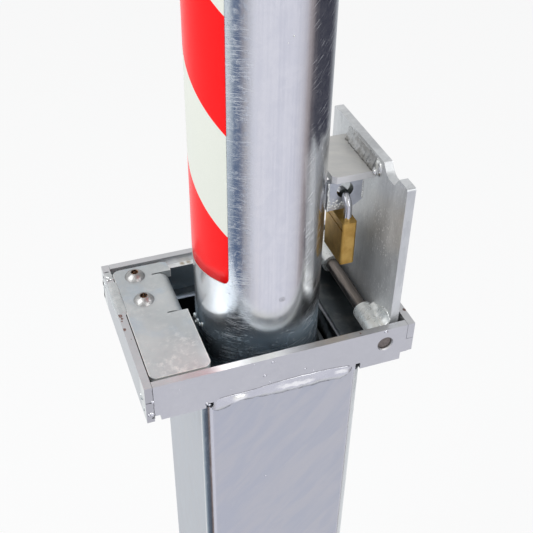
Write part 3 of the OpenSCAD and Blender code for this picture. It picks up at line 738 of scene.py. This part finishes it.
def make_front_bead(material, line):
    """Long flat bead with a crest, and painted shade as dark lines in the creases along its upper edge and
    parts of its lower one.
    """
    bm = bmesh.new()
    edge = bmesh.new()
    face = BAR_LO.y / MM
    rows, upper, lower = [], [], [[]]
    count, across = 150, 14
    for i in range(count + 1):
        x = BEAD[0][0] + (BEAD[-1][0] - BEAD[0][0]) * i / count
        top, low, thick = between(x, BEAD)
        here = mm(x, 0, 0)
        low += wobble(here, 9, 0.9) + wobble(here, 4, 0.25)
        top += wobble(here + Vector((9, 0, 0)), 9, 0.6)
        thick *= 1 + wobble(here, 6, 0.25)
        crest = 0.60 + 0.10 * noise.noise(Vector((x / 8, 3, 0)))
        row = []
        for j in range(across + 1):
            t = j / across
            rise = t / crest if t < crest else (1 - t) / (1 - crest)
            out = thick * (0.45 * ease(rise) + 0.55 * math.sin(math.pi / 2 * rise))
            row.append(mm(x, face + 0.1 - BEAD_SWELL * out, top + (low - top) * t))
        row.append(mm(x, face + 0.5, low))
        row.append(mm(x, face + 0.5, top))
        rows.append(row)
        if BEAD_CREASE[0] < x < BEAD_CREASE[1]:
            upper.append((x, face, top + 0.1))
        if noise.noise(Vector((x / 12, 8, 0))) > -0.05:
            lower[-1].append((x, face, low - 0.05))
        else:
            lower.append([])
    for crease_shade in lower:
        if len(crease_shade) > 3:
            add_ribbon(edge, crease_shade, (0, -1, 0), 0.30)
    add_skin(bm, rows)
    add_ribbon(edge, upper, (0, -1, 0), 0.55)
    piece("front_bead", bm, material, "root", ("front_weld_bead",))
    piece("front_bead_edge", edge, line, "root")


SHELF_BEAD_LUMPS = (((88.5, -20.0, 114.6), (1.7, 5.6, 6.8)), ((87.6, -17.4, 109.4), (2.2, 1.6, 3.0)))


def make_shelf_bead(material):
    """Hollow, pitted bead between the shelf and the lid, thick in front of the shelf."""
    lo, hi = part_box("shelf_weld")
    bm = bmesh.new()
    rows = []
    count, across = 110, 10
    reach, height = (hi.x - lo.x) / MM, (hi.z - lo.z) / MM
    face, foot = hi.x / MM, (lo.z - GROUND) / MM
    for i in range(count + 1):
        y = (lo.y + (hi.y - lo.y) * i / count) / MM
        here = mm(0, y, 0)
        ends = min(1.0, (i + 1) / 6, (count + 1 - i) / 6)
        on_shelf = ease((y + 17.5) / 2)
        wide = max(0.4, (reach - 0.2 + wobble(here, 4, 0.9)) * ends * (0.45 + 0.55 * on_shelf))
        tall = (height - 0.8 + wobble(here, 3, 1.4)) * (0.75 + 0.25 * ends)
        row = []
        for j in range(across + 1):
            t = j / across
            hollow = 0.55 * math.sin(math.pi * t) * (1 - 0.6 * noise.noise(Vector((y / 2.5, 5 * t, 1))))
            ripple = 0.35 * noise.noise(Vector((y / 1.6, 3 * t, 7)))
            x = face - wide * (1 - t) ** 1.25 - 0.15 + hollow * min(1.0, wide / 3) - ripple * ends
            row.append(mm(min(x, face - 0.1), y, foot + 0.05 + tall * t))
        row.append(mm(face + 0.15, y, foot + tall))
        row.append(mm(face + 0.15, y, foot + 0.05))
        rows.append(row)
    add_skin(bm, rows)
    for at, radii in SHELF_BEAD_LUMPS:
        add_blob(bm, at, radii, 0.10)
    piece("shelf_bead", bm, material, "lid", ("shelf_weld",))


# The roll's section as (x from the bar's outer face, height above ground), and lumps beside it as
# (x from that face, y, height) with their radii
ROLL = [
    (0.4, -6.5), (-0.5, -5.0), (-0.75, -3.0), (-0.55, -1.2), (0.3, 0.1), (1.6, 0.6), (3.2, 0.6),
    (4.8, 0.4), (6.3, 0.0), (7.5, -0.6), (8.2, -1.2), (6.4, -2.4), (2.0, -1.6),
]
ROLL_START, ROLL_LENGTH = 9.5, 44.0
ROLL_LUMPS = (
    ((3.4, 61.5, -0.3), (3.2, 4.6, 0.9)), ((4.6, 56.5, -0.4), (2.2, 3.0, 0.8)),
    ((1.6, 57.0, -0.7), (1.6, 3.0, 1.2)), ((0.2, 66.5, -14.0), (0.9, 2.2, 3.0)),
    ((0.2, 71.5, -22.0), (0.8, 2.0, 4.0)), ((0.2, -59.0, -22.5), (0.9, 2.6, 3.6)),
    ((0.2, -64.5, -18.5), (0.9, 2.0, 2.2)), ((0.1, -67.0, -28.0), (0.7, 1.8, 2.6)),
)


def make_bar_roll(material):
    """Dipped roll of weld over the left bar's outer edge, and lumps towards the bar's two ends."""
    bm = bmesh.new()
    x0 = LEFT_LO.x / MM
    rows = []
    count = 70
    for i in range(count + 1):
        y = ROLL_START + ROLL_LENGTH * i / count
        ends = ease(min((i + 2) / 9, (count + 2 - i) / 9))
        row = []
        for k, (dx, z) in enumerate(ROLL):
            p = mm(x0 + dx, y, z)
            swell = wobble(p, 5, 0.25) + wobble(p, 11, 0.35) if k < 10 else 0
            x = x0 + 1.5 + (dx - 1.5) * (0.72 + 0.28 * ends) - (swell if k < 4 else 0)
            row.append(mm(x, y, -1.2 + (z + 1.2) * (0.5 + 0.5 * ends) + (swell if k >= 4 else 0)))
        rows.append(row)
    add_skin(bm, rows)
    for (dx, y, z), radii in ROLL_LUMPS:
        add_blob(bm, (x0 + dx, y, z), radii, 0.3)
    piece("bar_roll", bm, material, "root")


def make_hinge_fillet(material, side):
    """Zinc in the corner between a knuckle and the lid; side is -1 for the front knuckle, 1 for the back."""
    lo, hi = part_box("hinge_knuckle_front" if side < 0 else "hinge_knuckle_back")
    top = (hi.z - GROUND) / MM
    face = LID_LO.x / MM
    inner, outer = (hi.y, lo.y) if side < 0 else (lo.y, hi.y)
    inner, outer = inner / MM, outer / MM
    bm = bmesh.new()
    rows = []
    count, across = 40, 9
    for i in range(count + 1):
        s = i / count
        y = inner + side * 4.0 + (outer - inner - side * 4.0) * s
        here = mm(0, y, 0)
        rise = (1.2 + 8.5 * ease(s * 1.5) - 3.0 * ease((s - 0.75) / 0.25)) * (1 + wobble(here, 4, 0.2))
        wide = 3.4 + 3.6 * ease(s * 1.3)
        row = []
        for j in range(across + 1):
            t = j / across
            x = face - wide * (1 - t) ** 1.6 - 0.3 * math.sin(math.pi * t)
            bulge = 0.6 * math.sin(math.pi * t) * (1 + 1.4 * noise.noise(Vector((y / 4, 2 * t, side))))
            row.append(mm(min(x, face - 0.05), y, top + 0.15 + rise * t ** 1.7 + bulge))
        row.append(mm(face + 0.1, y, top + 0.15 + rise))
        row.append(mm(face + 0.1, y, top - 2.5))
        row.append(mm(face - wide, y, top - 2.5))
        rows.append(row)
    add_skin(bm, rows)
    piece("hinge_fillet_front" if side < 0 else "hinge_fillet_back", bm, material, "lid")


# Pimples on the front face: x, height above ground, radius
PIMPLES = (
    (-13.6, -4.3, 1.1), (-11.6, -4.9, 0.5), (13.4, -20.1, 0.9), (-19.9, -16.7, 1.2), (-17.4, -16.9, 0.5),
    (-28.2, -2.4, 0.6), (-15.5, -25.0, 0.6), (20.8, -24.6, 0.5), (-17.5, -138.5, 0.7), (-86.6, -9.0, 0.4),
    (-107.5, -14.7, 1.3), (-108.9, -27.4, 1.8), (-110.6, -27.9, 1.2), (-66.2, -31.4, 1.3),
    (-64.4, -33.2, 1.1), (80.8, -1.6, 1.3), (-46.5, -23.0, 0.4),
)


def make_face_lumps(material):
    """Pimples on the front, and two drips under the front bar."""
    face = BAR_LO.y / MM
    bm = bmesh.new()
    for x, z, r in PIMPLES:
        add_blob(bm, (x, face + 0.1, z), (1.2 * r, 0.6 * r + 0.1, 1.2 * r), 0.3)
    add_blob(bm, (-98.1, face + 2.6, -36.0), (2.6, 2.0, 0.9), 0.2)
    add_blob(bm, (-92.0, face + 3.0, -36.0), (4.0, 2.0, 0.6), 0.2)
    piece("face_lumps", bm, material, "root")


def make_lug_lumps(material):
    """Weld spatter on the lug: along its inner edge, over its lower corner and down its outer edge."""
    lo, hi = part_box("padlock_lug")
    face = lo.y / MM
    x0, x1 = lo.x / MM, hi.x / MM
    z0, z1 = (lo.z - GROUND) / MM, (hi.z - GROUND) / MM
    bm = bmesh.new()
    for i in range(17):
        z = z0 + 0.8 + (z1 - z0 - 1.6) * i / 16
        r = random.uniform(0.7, 1.15)
        add_blob(bm, (x0 + 0.5 + random.uniform(-0.2, 0.3), face + 0.15, z), (r, 0.8, 1.4 * r), 0.3)
    for i in range(26):
        t, s = random.random(), random.random()
        r = random.uniform(0.45, 1.2)
        x, z = x0 + 1.0 + 12.5 * t, z0 + 0.8 + 11.0 * s * (1 - 0.5 * t)
        add_blob(bm, (x, face + 0.1, z), (r, 0.5 * r, r), 0.35)
    for i in range(12):
        r = random.uniform(0.5, 0.9)
        z = z0 + 7.5 + (z1 - z0 - 9) * i / 11
        add_blob(bm, (x1 - 0.5 + random.uniform(-0.3, 0.2), face + 0.15, z), (r, 0.6, 1.5 * r), 0.3)
    piece("lug_lumps", bm, material, "lid")


TUBE_LUMPS = (
    ((-50.3, 11.5, -19.5), (1.3, 2.2, 2.6)), ((-50.9, 6.0, -22.0), (1.0, 2.0, 1.7)),
    ((-51.0, 0.5, -16.5), (1.0, 2.2, 2.8)), ((-50.6, -5.0, -15.0), (0.9, 1.8, 1.6)),
    ((-50.0, -9.6, -11.5), (0.8, 1.8, 2.2)), ((4.2, -50.8, 245.0), (0.6, 0.35, 0.6)),
    ((0.6, -50.8, 241.0), (0.4, 0.3, 0.4)), ((20.0, -46.8, 130.0), (0.35, 0.3, 0.35)),
)
MARK_AT = (2.0, 34.2)
MARK_RADII = (2.2, 1.7)


def make_tube_lumps(material, line):
    """Lumps and pimples of zinc on the tube, and a small mark of two oval rings on its front."""
    bm = bmesh.new()
    for at, radii in TUBE_LUMPS:
        add_blob(bm, at, radii, 0.3)
    piece("tube_lumps", bm, material, "post")
    bm = bmesh.new()
    for r in (1.0, 0.35):
        ring = []
        for k in range(20):
            a = 2 * math.pi * k / 20
            x = MARK_RADII[0] * r * math.cos(a) + MARK_AT[0]
            y = -math.sqrt((POST_R / MM) ** 2 - x ** 2) - 0.02
            ring.append((x, y, MARK_AT[1] + MARK_RADII[1] * r * math.sin(a)))
        add_ribbon(bm, ring, (0.04, -1, 0), 0.28, closed=True)
    piece("tube_mark", bm, line, "post")


# Dark spots on the front as (x, height, radius), dark gaps at the back left corner with their radii,
# and rust spots on the bars' tops as (x, y, radius)
FRONT_SPOTS = ((-65.2, -32.6, 1.2), (-63.0, -36.2, 0.9), (-108.2, -31.8, 0.9))
BACK_GAPS = (
    ((-112.9, 73.5, -17.0), (0.5, 1.6, 3.4)), ((-112.9, 74.2, -31.0), (0.5, 1.0, 4.0)),
    ((-112.7, 66.0, -5.0), (0.5, 3.0, 2.6)), ((-110.5, 65.8, -0.2), (2.6, 0.7, 0.35)),
    ((-110.0, 54.2, -0.1), (2.2, 0.6, 0.3)),
)
RUST_SPOTS = (
    (-111.4, 8.6, 1.5), (-110.8, 5.0, 1.0), (-111.6, 2.2, 0.7), (-111.8, -8.0, 1.2), (104.9, -57.7, 1.3),
    (60.0, -71.8, 0.7), (-109.4, -20.0, 0.4),
)


def make_marks(line, rust):
    """Dark seams at the front corner's fingers, dark spots, and rust spots on the bars' tops."""
    face = BAR_LO.y / MM
    x0, x1 = BAR_LO.x / MM, LEFT_HI.x / MM
    bm = bmesh.new()
    down = [(x1 + 0.1 + wobble(mm(0, 0, z), 2.5, 0.7), face, z) for z in range(-1, -34, -1)]
    add_ribbon(bm, down, (0, -1, 0), 0.4)
    side = [(x0 + 0.5 + i * 0.5, face, -15.4 + wobble(mm(i, 0, 0), 2, 0.8)) for i in range(13)]
    add_ribbon(bm, side, (0, -1, 0), 0.5)
    foot = [(x0 + 0.6 + i * 0.5, face, -27.0 + 0.25 * i * wobble(mm(i, 4, 0), 3, 1.0)) for i in range(9)]
    add_ribbon(bm, foot, (0, -1, 0), 0.3)
    for x, z, r in FRONT_SPOTS:
        add_blob(bm, (x, face + 0.05, z), (r, 0.35, r), 0.4)
    for at, radii in BACK_GAPS:
        add_blob(bm, at, radii, 0.4)
    piece("seam_lines", bm, line, "root")
    bm = bmesh.new()
    for x, y, r in RUST_SPOTS:
        add_blob(bm, (x, y, 0.0), (r, 1.35 * r, 0.12), 0.5)
    add_blob(bm, (81.3, face, -2.4), (1.3, 0.15, 0.8), 0.4)
    piece("rust_spots", bm, rust, "root")


# Painted places on single nodes. Each function takes and returns a colour and a roughness.
# Points are in millimetres with their height above ground, chosen where the photo shows the effect.
SLEEVE_CORNER = (8.2 * MM, 7.0 * MM)
INNER_WALL_REFLECTION = [(58.5, 2, -42), (58.5, -5, -43.5), (58.5, -12, -45.5), (58.5, -20, -48.5)]


def paint_sleeve(g, place, colour, roughness):
    """Painted shade on the inner faces with one paler painted reflection, and corners crisp in front,
    rougher behind.
    """
    lo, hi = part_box("foundation_sleeve")
    cx, cy, half = (lo.x + hi.x) / 2, (lo.y + hi.y) / 2, (hi.x - lo.x) / 2
    off_x = g.size(g.less(place.x, cx))
    off_y = g.size(g.less(place.y, cy))
    outside = g.span(g.most(off_x, off_y), half - 3.4 * MM, half - 2.6 * MM)
    corner = g.span(g.least(off_x, off_y), half - SLEEVE_CORNER[0], half - SLEEVE_CORNER[1])
    stain = g.span(g.noise(g.coords(scale=(1, 1, 0.5)), 170, 5, 0.7), 0.45, 0.65)
    behind = g.span(place.y, cy, cy + 5 * MM)
    rough_corner = g.plus(g.blend(behind, 0.07, 0.24), g.times(stain, 0.16))
    # Painted reflection as a paler area on the inner wall; painted shade on the other inner faces
    wall = place.near(INNER_WALL_REFLECTION, 3.0, 8.0)
    inside = g.mix(wall, (0.012, 0.014, 0.017), (0.50, 0.53, 0.55))
    colour = g.mix(outside, inside, g.mix(corner, colour, (0.60, 0.61, 0.64)))
    return colour, g.blend(corner, roughness, rough_corner)


FINGER_X = (-107.2 * MM, -106.6 * MM)
LEFT_ENDS_Y = (56 * MM, 66 * MM)
TOP_HIGHLIGHT_X = (-64 * MM, -50 * MM, -20 * MM, 6 * MM)
TOP_HIGHLIGHT_Y = (-69.6 * MM, -69.0 * MM)
HINGE_HOLE = [(AXLE_AT.x / MM, BAR_LO.y / MM + y, (AXLE_AT.z - GROUND) / MM) for y in (0, 2, 4)]


def paint_frame(g, place, colour, roughness):
    """Darker front finger, paler ends of the left face, painted shade ringing the hinge hole, painted
    highlight on the front top.
    """
    finger = g.times(g.fade(place.x, *FINGER_X), g.fade(place.normal(1), -0.8, -0.5))
    colour = g.tint(colour, finger, 0.5, (0.40, 0.40, 0.41))
    ends = g.times(g.span(g.size(place.y), *LEFT_ENDS_Y), g.fade(place.normal(0), -0.8, -0.5))
    colour = g.tint(colour, ends, 0.6, (0.86, 0.87, 0.85))
    # Painted shade: a dark brownish ring at the hinge hole's rim and in its mouth
    ragged = g.times(g.noise(g.coords(), 260, 3, 0.6), 1.6 * MM)
    colour = g.tint(colour, place.near(HINGE_HOLE, 6.0, 7.6, ragged), 0.7, (0.20, 0.17, 0.16))
    # Painted highlight: a bright stripe along the front bar's top
    run = g.times(g.window(place.x, *TOP_HIGHLIGHT_X), g.fade(place.y, *TOP_HIGHLIGHT_Y),
                  g.span(place.normal(2), 0.4, 0.7))
    return g.tint(colour, run, 0.75, (0.95, 0.95, 0.90)), roughness


LUG_EYE = [(65.2, y, 96.1) for y in (-13, -11.5, -10, -8.5)]


def paint_lug(g, place, colour, roughness):
    """Painted shade on the eye's wall."""
    inner = g.times(place.near(LUG_EYE, 6.9, 7.3), g.fade(g.size(place.normal(1)), 0.4, 0.7))
    return g.mix(inner, colour, (0.13, 0.14, 0.13)), roughness


def paint_shelf(g, place, colour, roughness):
    """Painted light on the front edge, and painted shade under the plate."""
    front = g.fade(place.normal(1), -0.8, -0.4)
    under = g.fade(place.normal(2), -0.8, -0.4)
    # Painted light on the front face
    colour = g.tint(colour, front, 0.6, (0.84, 0.84, 0.84))
    return g.tint(colour, under, 0.8, (0.16, 0.165, 0.17)), roughness


# Height of the front bead's crest, and the stretches in x that get painted highlights
BEAD_CREST = GROUND - 32.2 * MM
BEAD_HIGHLIGHT_X = ((-48, -43, -38, -32), (-14, -2, 16, 24), (37, 42, 47, 51))


def paint_bead(g, place, colour, roughness):
    """Painted highlights as bright runs along the bead's crest."""
    ripple = g.times(g.less(g.noise(g.coords(scale=(0.4, 1, 1)), 330, 3, 0.6), 0.5), 6 * MM)
    crest = g.fade(g.size(g.plus(g.less(place.z, BEAD_CREST), ripple)), 0.7 * MM, 2.2 * MM)
    runs = g.most(*[g.window(place.x, *[x * MM for x in stretch]) for stretch in BEAD_HIGHLIGHT_X])
    crest_highlight = g.times(crest, runs)
    return g.tint(colour, crest_highlight, 0.9, (0.97, 0.97, 0.93)), g.blend(crest_highlight, roughness, 0.16)


GLINT_SWARMS = [(79, -35, 75), (79, -38, 50), (79, -40, 25)]
SHADE_BESIDE_LUG = [(79, -17, 104), (79, -21, 103)]


def paint_lid(g, place, colour, roughness):
    """Painted glints as bright dots on the wide faces, most low on the inner one, and painted shade beside
    the lug.
    """
    dots = g.times(painted_glints(g, g.coords()), g.span(g.size(place.normal(0)), 0.6, 0.9))
    share = g.blend(place.near(GLINT_SWARMS, 8, 26), 0.25, 1.0)
    # Painted glints, denser low on the inner face
    colour = g.tint(colour, dots, share, GLINT_COLOUR)
    # Painted shade beside the lug
    return g.tint(colour, place.near(SHADE_BESIDE_LUG, 1.0, 5.0), 0.8, (0.12, 0.125, 0.13)), roughness


def paint_plate(g, place, colour, roughness):
    """Pale mottling towards the front half, faint blue patches behind, and a pale rim that is a painted
    highlight.
    """
    lo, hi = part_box("retaining_plate")
    at = g.coords()
    front = g.span(place.y, -52 * MM, 6 * MM, 1.0, 0.28)
    fine = g.span(g.noise(at, 210, 7, 0.74, 0.2), 0.44, 0.66)
    wide = g.span(g.noise(at, 48, 4, 0.6, 0.5), 0.36, 0.62)
    colour = g.tint(colour, g.times(fine, wide, front), 0.75, (0.84, 0.84, 0.815))
    patches = g.span(g.noise(g.coords(shift=(3, 1, 0)), 36, 4, 0.6, 0.5), 0.48, 0.66)
    colour = g.tint(colour, g.times(patches, g.less(1.1, front)), 0.55, (0.42, 0.50, 0.58))
    # Painted highlight along the plate's edges
    rim = g.least(g.less(place.x, lo.x), g.less(hi.x, place.x), g.less(place.y, lo.y))
    rim = g.plus(rim, g.times(g.noise(at, 300, 3, 0.6), 1.2 * MM))
    return g.tint(colour, g.fade(rim, 0.9 * MM, 1.6 * MM), 0.6, (0.86, 0.85, 0.82)), roughness


LEDGE_STAIN = [(-45, 66.5, -8), (-39, 67, -8)]


def paint_ledge(g, place, colour, roughness):
    """Painted light and shade: a pale lit top with one brown stain, and shaded darker sides that are clouded
    low down.
    """
    # Painted light on the top, painted shade on the sides
    up = g.span(place.normal(2), 0.5, 0.9)
    ragged = g.times(g.noise(g.coords(), 260, 3, 0.6), 4 * MM)
    top = g.mix(place.near(LEDGE_STAIN, 1.5, 6.0, ragged), (0.93, 0.96, 0.94), (0.46, 0.38, 0.25))
    cloud = g.span(g.noise(g.coords(), 60, 4, 0.6), 0.40, 0.65)
    low = g.times(g.span(place.z, GROUND - 20 * MM, GROUND - 31 * MM), cloud)
    side = g.mix(low, (0.17, 0.20, 0.225), (0.30, 0.325, 0.34))
    return g.mix(up, side, top), roughness


def paint_floor(g, place, colour, roughness):
    """Painted shade: a clouded dark plate, with a paler lit front edge."""
    front = g.fade(place.normal(1), -0.9, -0.5)
    clouds = g.span(g.noise(g.coords(), 34, 4, 0.6), 0.4, 0.62)
    grey = g.mix(clouds, (0.095, 0.11, 0.12), (0.20, 0.205, 0.205))
    return g.mix(front, grey, (0.55, 0.58, 0.60)), roughness


BEAD_PITS = [
    (88.9, 6, 122.4), (88.9, 9.5, 122.6), (88.9, -5, 121.6), (88.9, -11, 122.2), (88.9, -17.5, 122.6),
    (88.9, -1, 122.6),
]
BEAD_FOOT = (GROUND + 111 * MM, GROUND + 117 * MM)
BEAD_FRONT = (-17.5 * MM, -14.5 * MM)


def paint_shelf_bead(g, place, colour, roughness):
    """Painted shade in the pits on top, a foot darkened by stain and painted shade, a painted highlight in
    front.
    """
    pits = place.near(BEAD_PITS, 0.9, 2.2, g.times(g.noise(g.coords(), 500, 2, 0.5), 1 * MM))
    stain = g.span(g.noise(g.coords(scale=(1, 0.6, 1)), 190, 3, 0.6), 0.42, 0.62)
    front = g.fade(place.y, *BEAD_FRONT)
    # The foot by the shelf: brownish stain and painted shade
    colour = g.tint(colour, g.times(g.fade(place.z, *BEAD_FOOT), stain), 0.75, (0.20, 0.19, 0.17))
    # Painted shade in the pits
    colour = g.mix(pits, colour, (0.04, 0.045, 0.05))
    # Painted highlight on the pale lump in front
    return g.mix(front, colour, (0.80, 0.81, 0.80)), g.blend(front, roughness, 0.27)


make_camera()
make_world()
make_lamps()
make_floor()

ZINC_FRAME = zinc("zinc_frame", (0.62, 0.625, 0.645), (0.54, 0.545, 0.565), cloud=10, crystal_mix=0.2,
                  wave=0.25, blotch=0.10, paint=paint_frame)
ZINC_SLEEVE = zinc("zinc_sleeve", (0.565, 0.570, 0.600), (0.485, 0.505, 0.555), cloud=90,
                   crystal_mix=0.06, wave=0.30, stretch=(1, 1, 0.22), turn=(0, -0.70, 0),
                   paint=paint_sleeve)
ZINC_PLATE = zinc("zinc_plate", (0.55, 0.575, 0.58), (0.455, 0.485, 0.50), cloud=26, crystal_mix=0.12,
                  metal=0.72, paint=paint_plate)
ZINC_LID = zinc("zinc_lid", (0.72, 0.735, 0.745), (0.50, 0.515, 0.53), cloud=34, crystal=420,
                crystal_mix=0.3, stretch=(1, 1, 0.3), metal=0.5, rough=(0.26, 0.42), paint=paint_lid)
ZINC_SHELF = zinc("zinc_shelf", (0.70, 0.69, 0.665), (0.58, 0.58, 0.57), cloud=75, crystal_mix=0.15,
                  metal=0.7, stretch=(0.4, 1, 1), turn=(0, 0, 0.5), paint=paint_shelf)
ZINC_LUG = zinc("zinc_lug", (0.58, 0.61, 0.66), (0.42, 0.445, 0.49), cloud=60, crystal_mix=0.3,
                metal=0.8, paint=paint_lug)
ZINC_PALE = zinc("zinc_pale", (0.82, 0.835, 0.81), (0.70, 0.72, 0.71), cloud=90, crystal=300,
                 crystal_mix=0.15, metal=0.5, glint_share=0.25, rough=(0.18, 0.34))
ZINC_LEDGE = zinc("zinc_ledge", (0.80, 0.83, 0.83), (0.70, 0.73, 0.74), cloud=60, metal=0.6,
                  paint=paint_ledge)
# Painted shade: the floor plate's zinc is drawn dark
ZINC_FLOOR_SHADE = zinc("zinc_floor_shade", (0.1, 0.1, 0.11), (0.06, 0.06, 0.07), cloud=30, paint=paint_floor)
# Painted shade: the screw block's zinc is drawn nearly black
ZINC_SHADE = zinc("zinc_painted_shade", (0.07, 0.075, 0.085), (0.03, 0.035, 0.04), cloud=30, crystal_mix=0.4)
# Painted shade: the collar, its weld and the foot guide are drawn dark
ZINC_COLLAR_SHADE = zinc("zinc_collar_shade", (0.24, 0.26, 0.28), (0.14, 0.155, 0.17), cloud=30, crystal_mix=0.2,
                   metal=0.7)
ZINC_WELD = zinc("zinc_weld", (0.76, 0.765, 0.80), (0.66, 0.67, 0.71), rough=(0.12, 0.20), wave=0.5,
                 grain=0.1)
ZINC_BEAD = zinc("zinc_bead", (0.66, 0.665, 0.69), (0.60, 0.605, 0.635), rough=(0.20, 0.28), cloud=60,
                 crystal_mix=0.1, wave=0.4, grain=0.08, paint=paint_bead)
ZINC_ROLL = zinc("zinc_roll", (0.70, 0.72, 0.72), (0.50, 0.52, 0.53), rough=(0.14, 0.26), cloud=50,
                 wave=0.6, grain=0.1)
ZINC_FILLET = zinc("zinc_fillet", (0.50, 0.50, 0.50), (0.36, 0.365, 0.37), rough=(0.20, 0.34), cloud=70,
                   wave=0.5, paint=paint_shelf_bead)
ZINC_POST = tube_zinc()
AXLE = axle_steel()
SCREW = screw_steel()
BRASS = brass("padlock_brass", (0.64, 0.41, 0.12), (0.46, 0.27, 0.065))
PLUG = brass("plug_brass", (0.66, 0.48, 0.19), (0.50, 0.34, 0.12))
CHROME = chrome()
SHEET = sheet_material()
# Painted shade in the front bead's creases
CREASE_SHADE = dull("crease_shade", (0.30, 0.30, 0.34), (0.17, 0.165, 0.19))
SEAM = dull("seam_dark", (0.10, 0.10, 0.11), (0.03, 0.03, 0.035))
RUST = dull("rust_brown", (0.24, 0.16, 0.14), (0.10, 0.065, 0.06))

# Material, width of the rounded edges in millimetres, and the CAD nodes that get them
FINISHES = (
    (ZINC_FRAME, 0.5, ("frame_front_bar", "frame_back_bar", "frame_left_bar", "frame_right_bar")),
    (ZINC_SLEEVE, 0, ("foundation_sleeve", "sleeve_foot_plate")),
    (ZINC_FLOOR_SHADE, 0, ("frame_floor_plate",)),
    (ZINC_LEDGE, 0.4, ("back_ledge", "front_ledge")),
    (ZINC_SHADE, 0.4, ("screw_block",)),
    (ZINC_WELD, 0, ("front_weld_bead", "shelf_weld")),
    (ZINC_PLATE, 0.6, ("retaining_plate",)),
    (SCREW, 0, ("retaining_screws",)),
    (AXLE, 0, ("hinge_axle",)),
    (ZINC_LID, 0.5, ("lid_plate",)),
    (ZINC_PALE, 0.4, ("hinge_knuckle_front", "hinge_knuckle_back")),
    (ZINC_SHELF, 0.5, ("lid_shelf",)),
    (ZINC_LUG, 0.4, ("padlock_lug",)),
    (ZINC_POST, 0, ("post_tube", "post_cap")),
    (ZINC_COLLAR_SHADE, 0.4, ("guide_collar", "foot_guide")),
    (ZINC_COLLAR_SHADE, 0, ("collar_weld",)),
    (SHEET, 0, ("reflective_sheet", "reflective_stripes")),
    (CHROME, 0, ("padlock_shackle",)),
    (BRASS, 0.3, ("padlock_body",)),
    (PLUG, 0, ("padlock_plug",)),
)
for material, bevel, names in FINISHES:
    for name in names:
        dress(name, material, bevel)

make_sheet(SHEET)
make_front_bead(ZINC_BEAD, CREASE_SHADE)
make_shelf_bead(ZINC_FILLET)
make_bar_roll(ZINC_ROLL)
make_hinge_fillet(ZINC_PALE, -1)
make_hinge_fillet(ZINC_PALE, 1)
make_face_lumps(ZINC_WELD)
make_lug_lumps(ZINC_PALE)
make_tube_lumps(ZINC_PALE, SEAM)
make_marks(SEAM, RUST)

bpy.context.scene.view_settings.view_transform = "Standard"
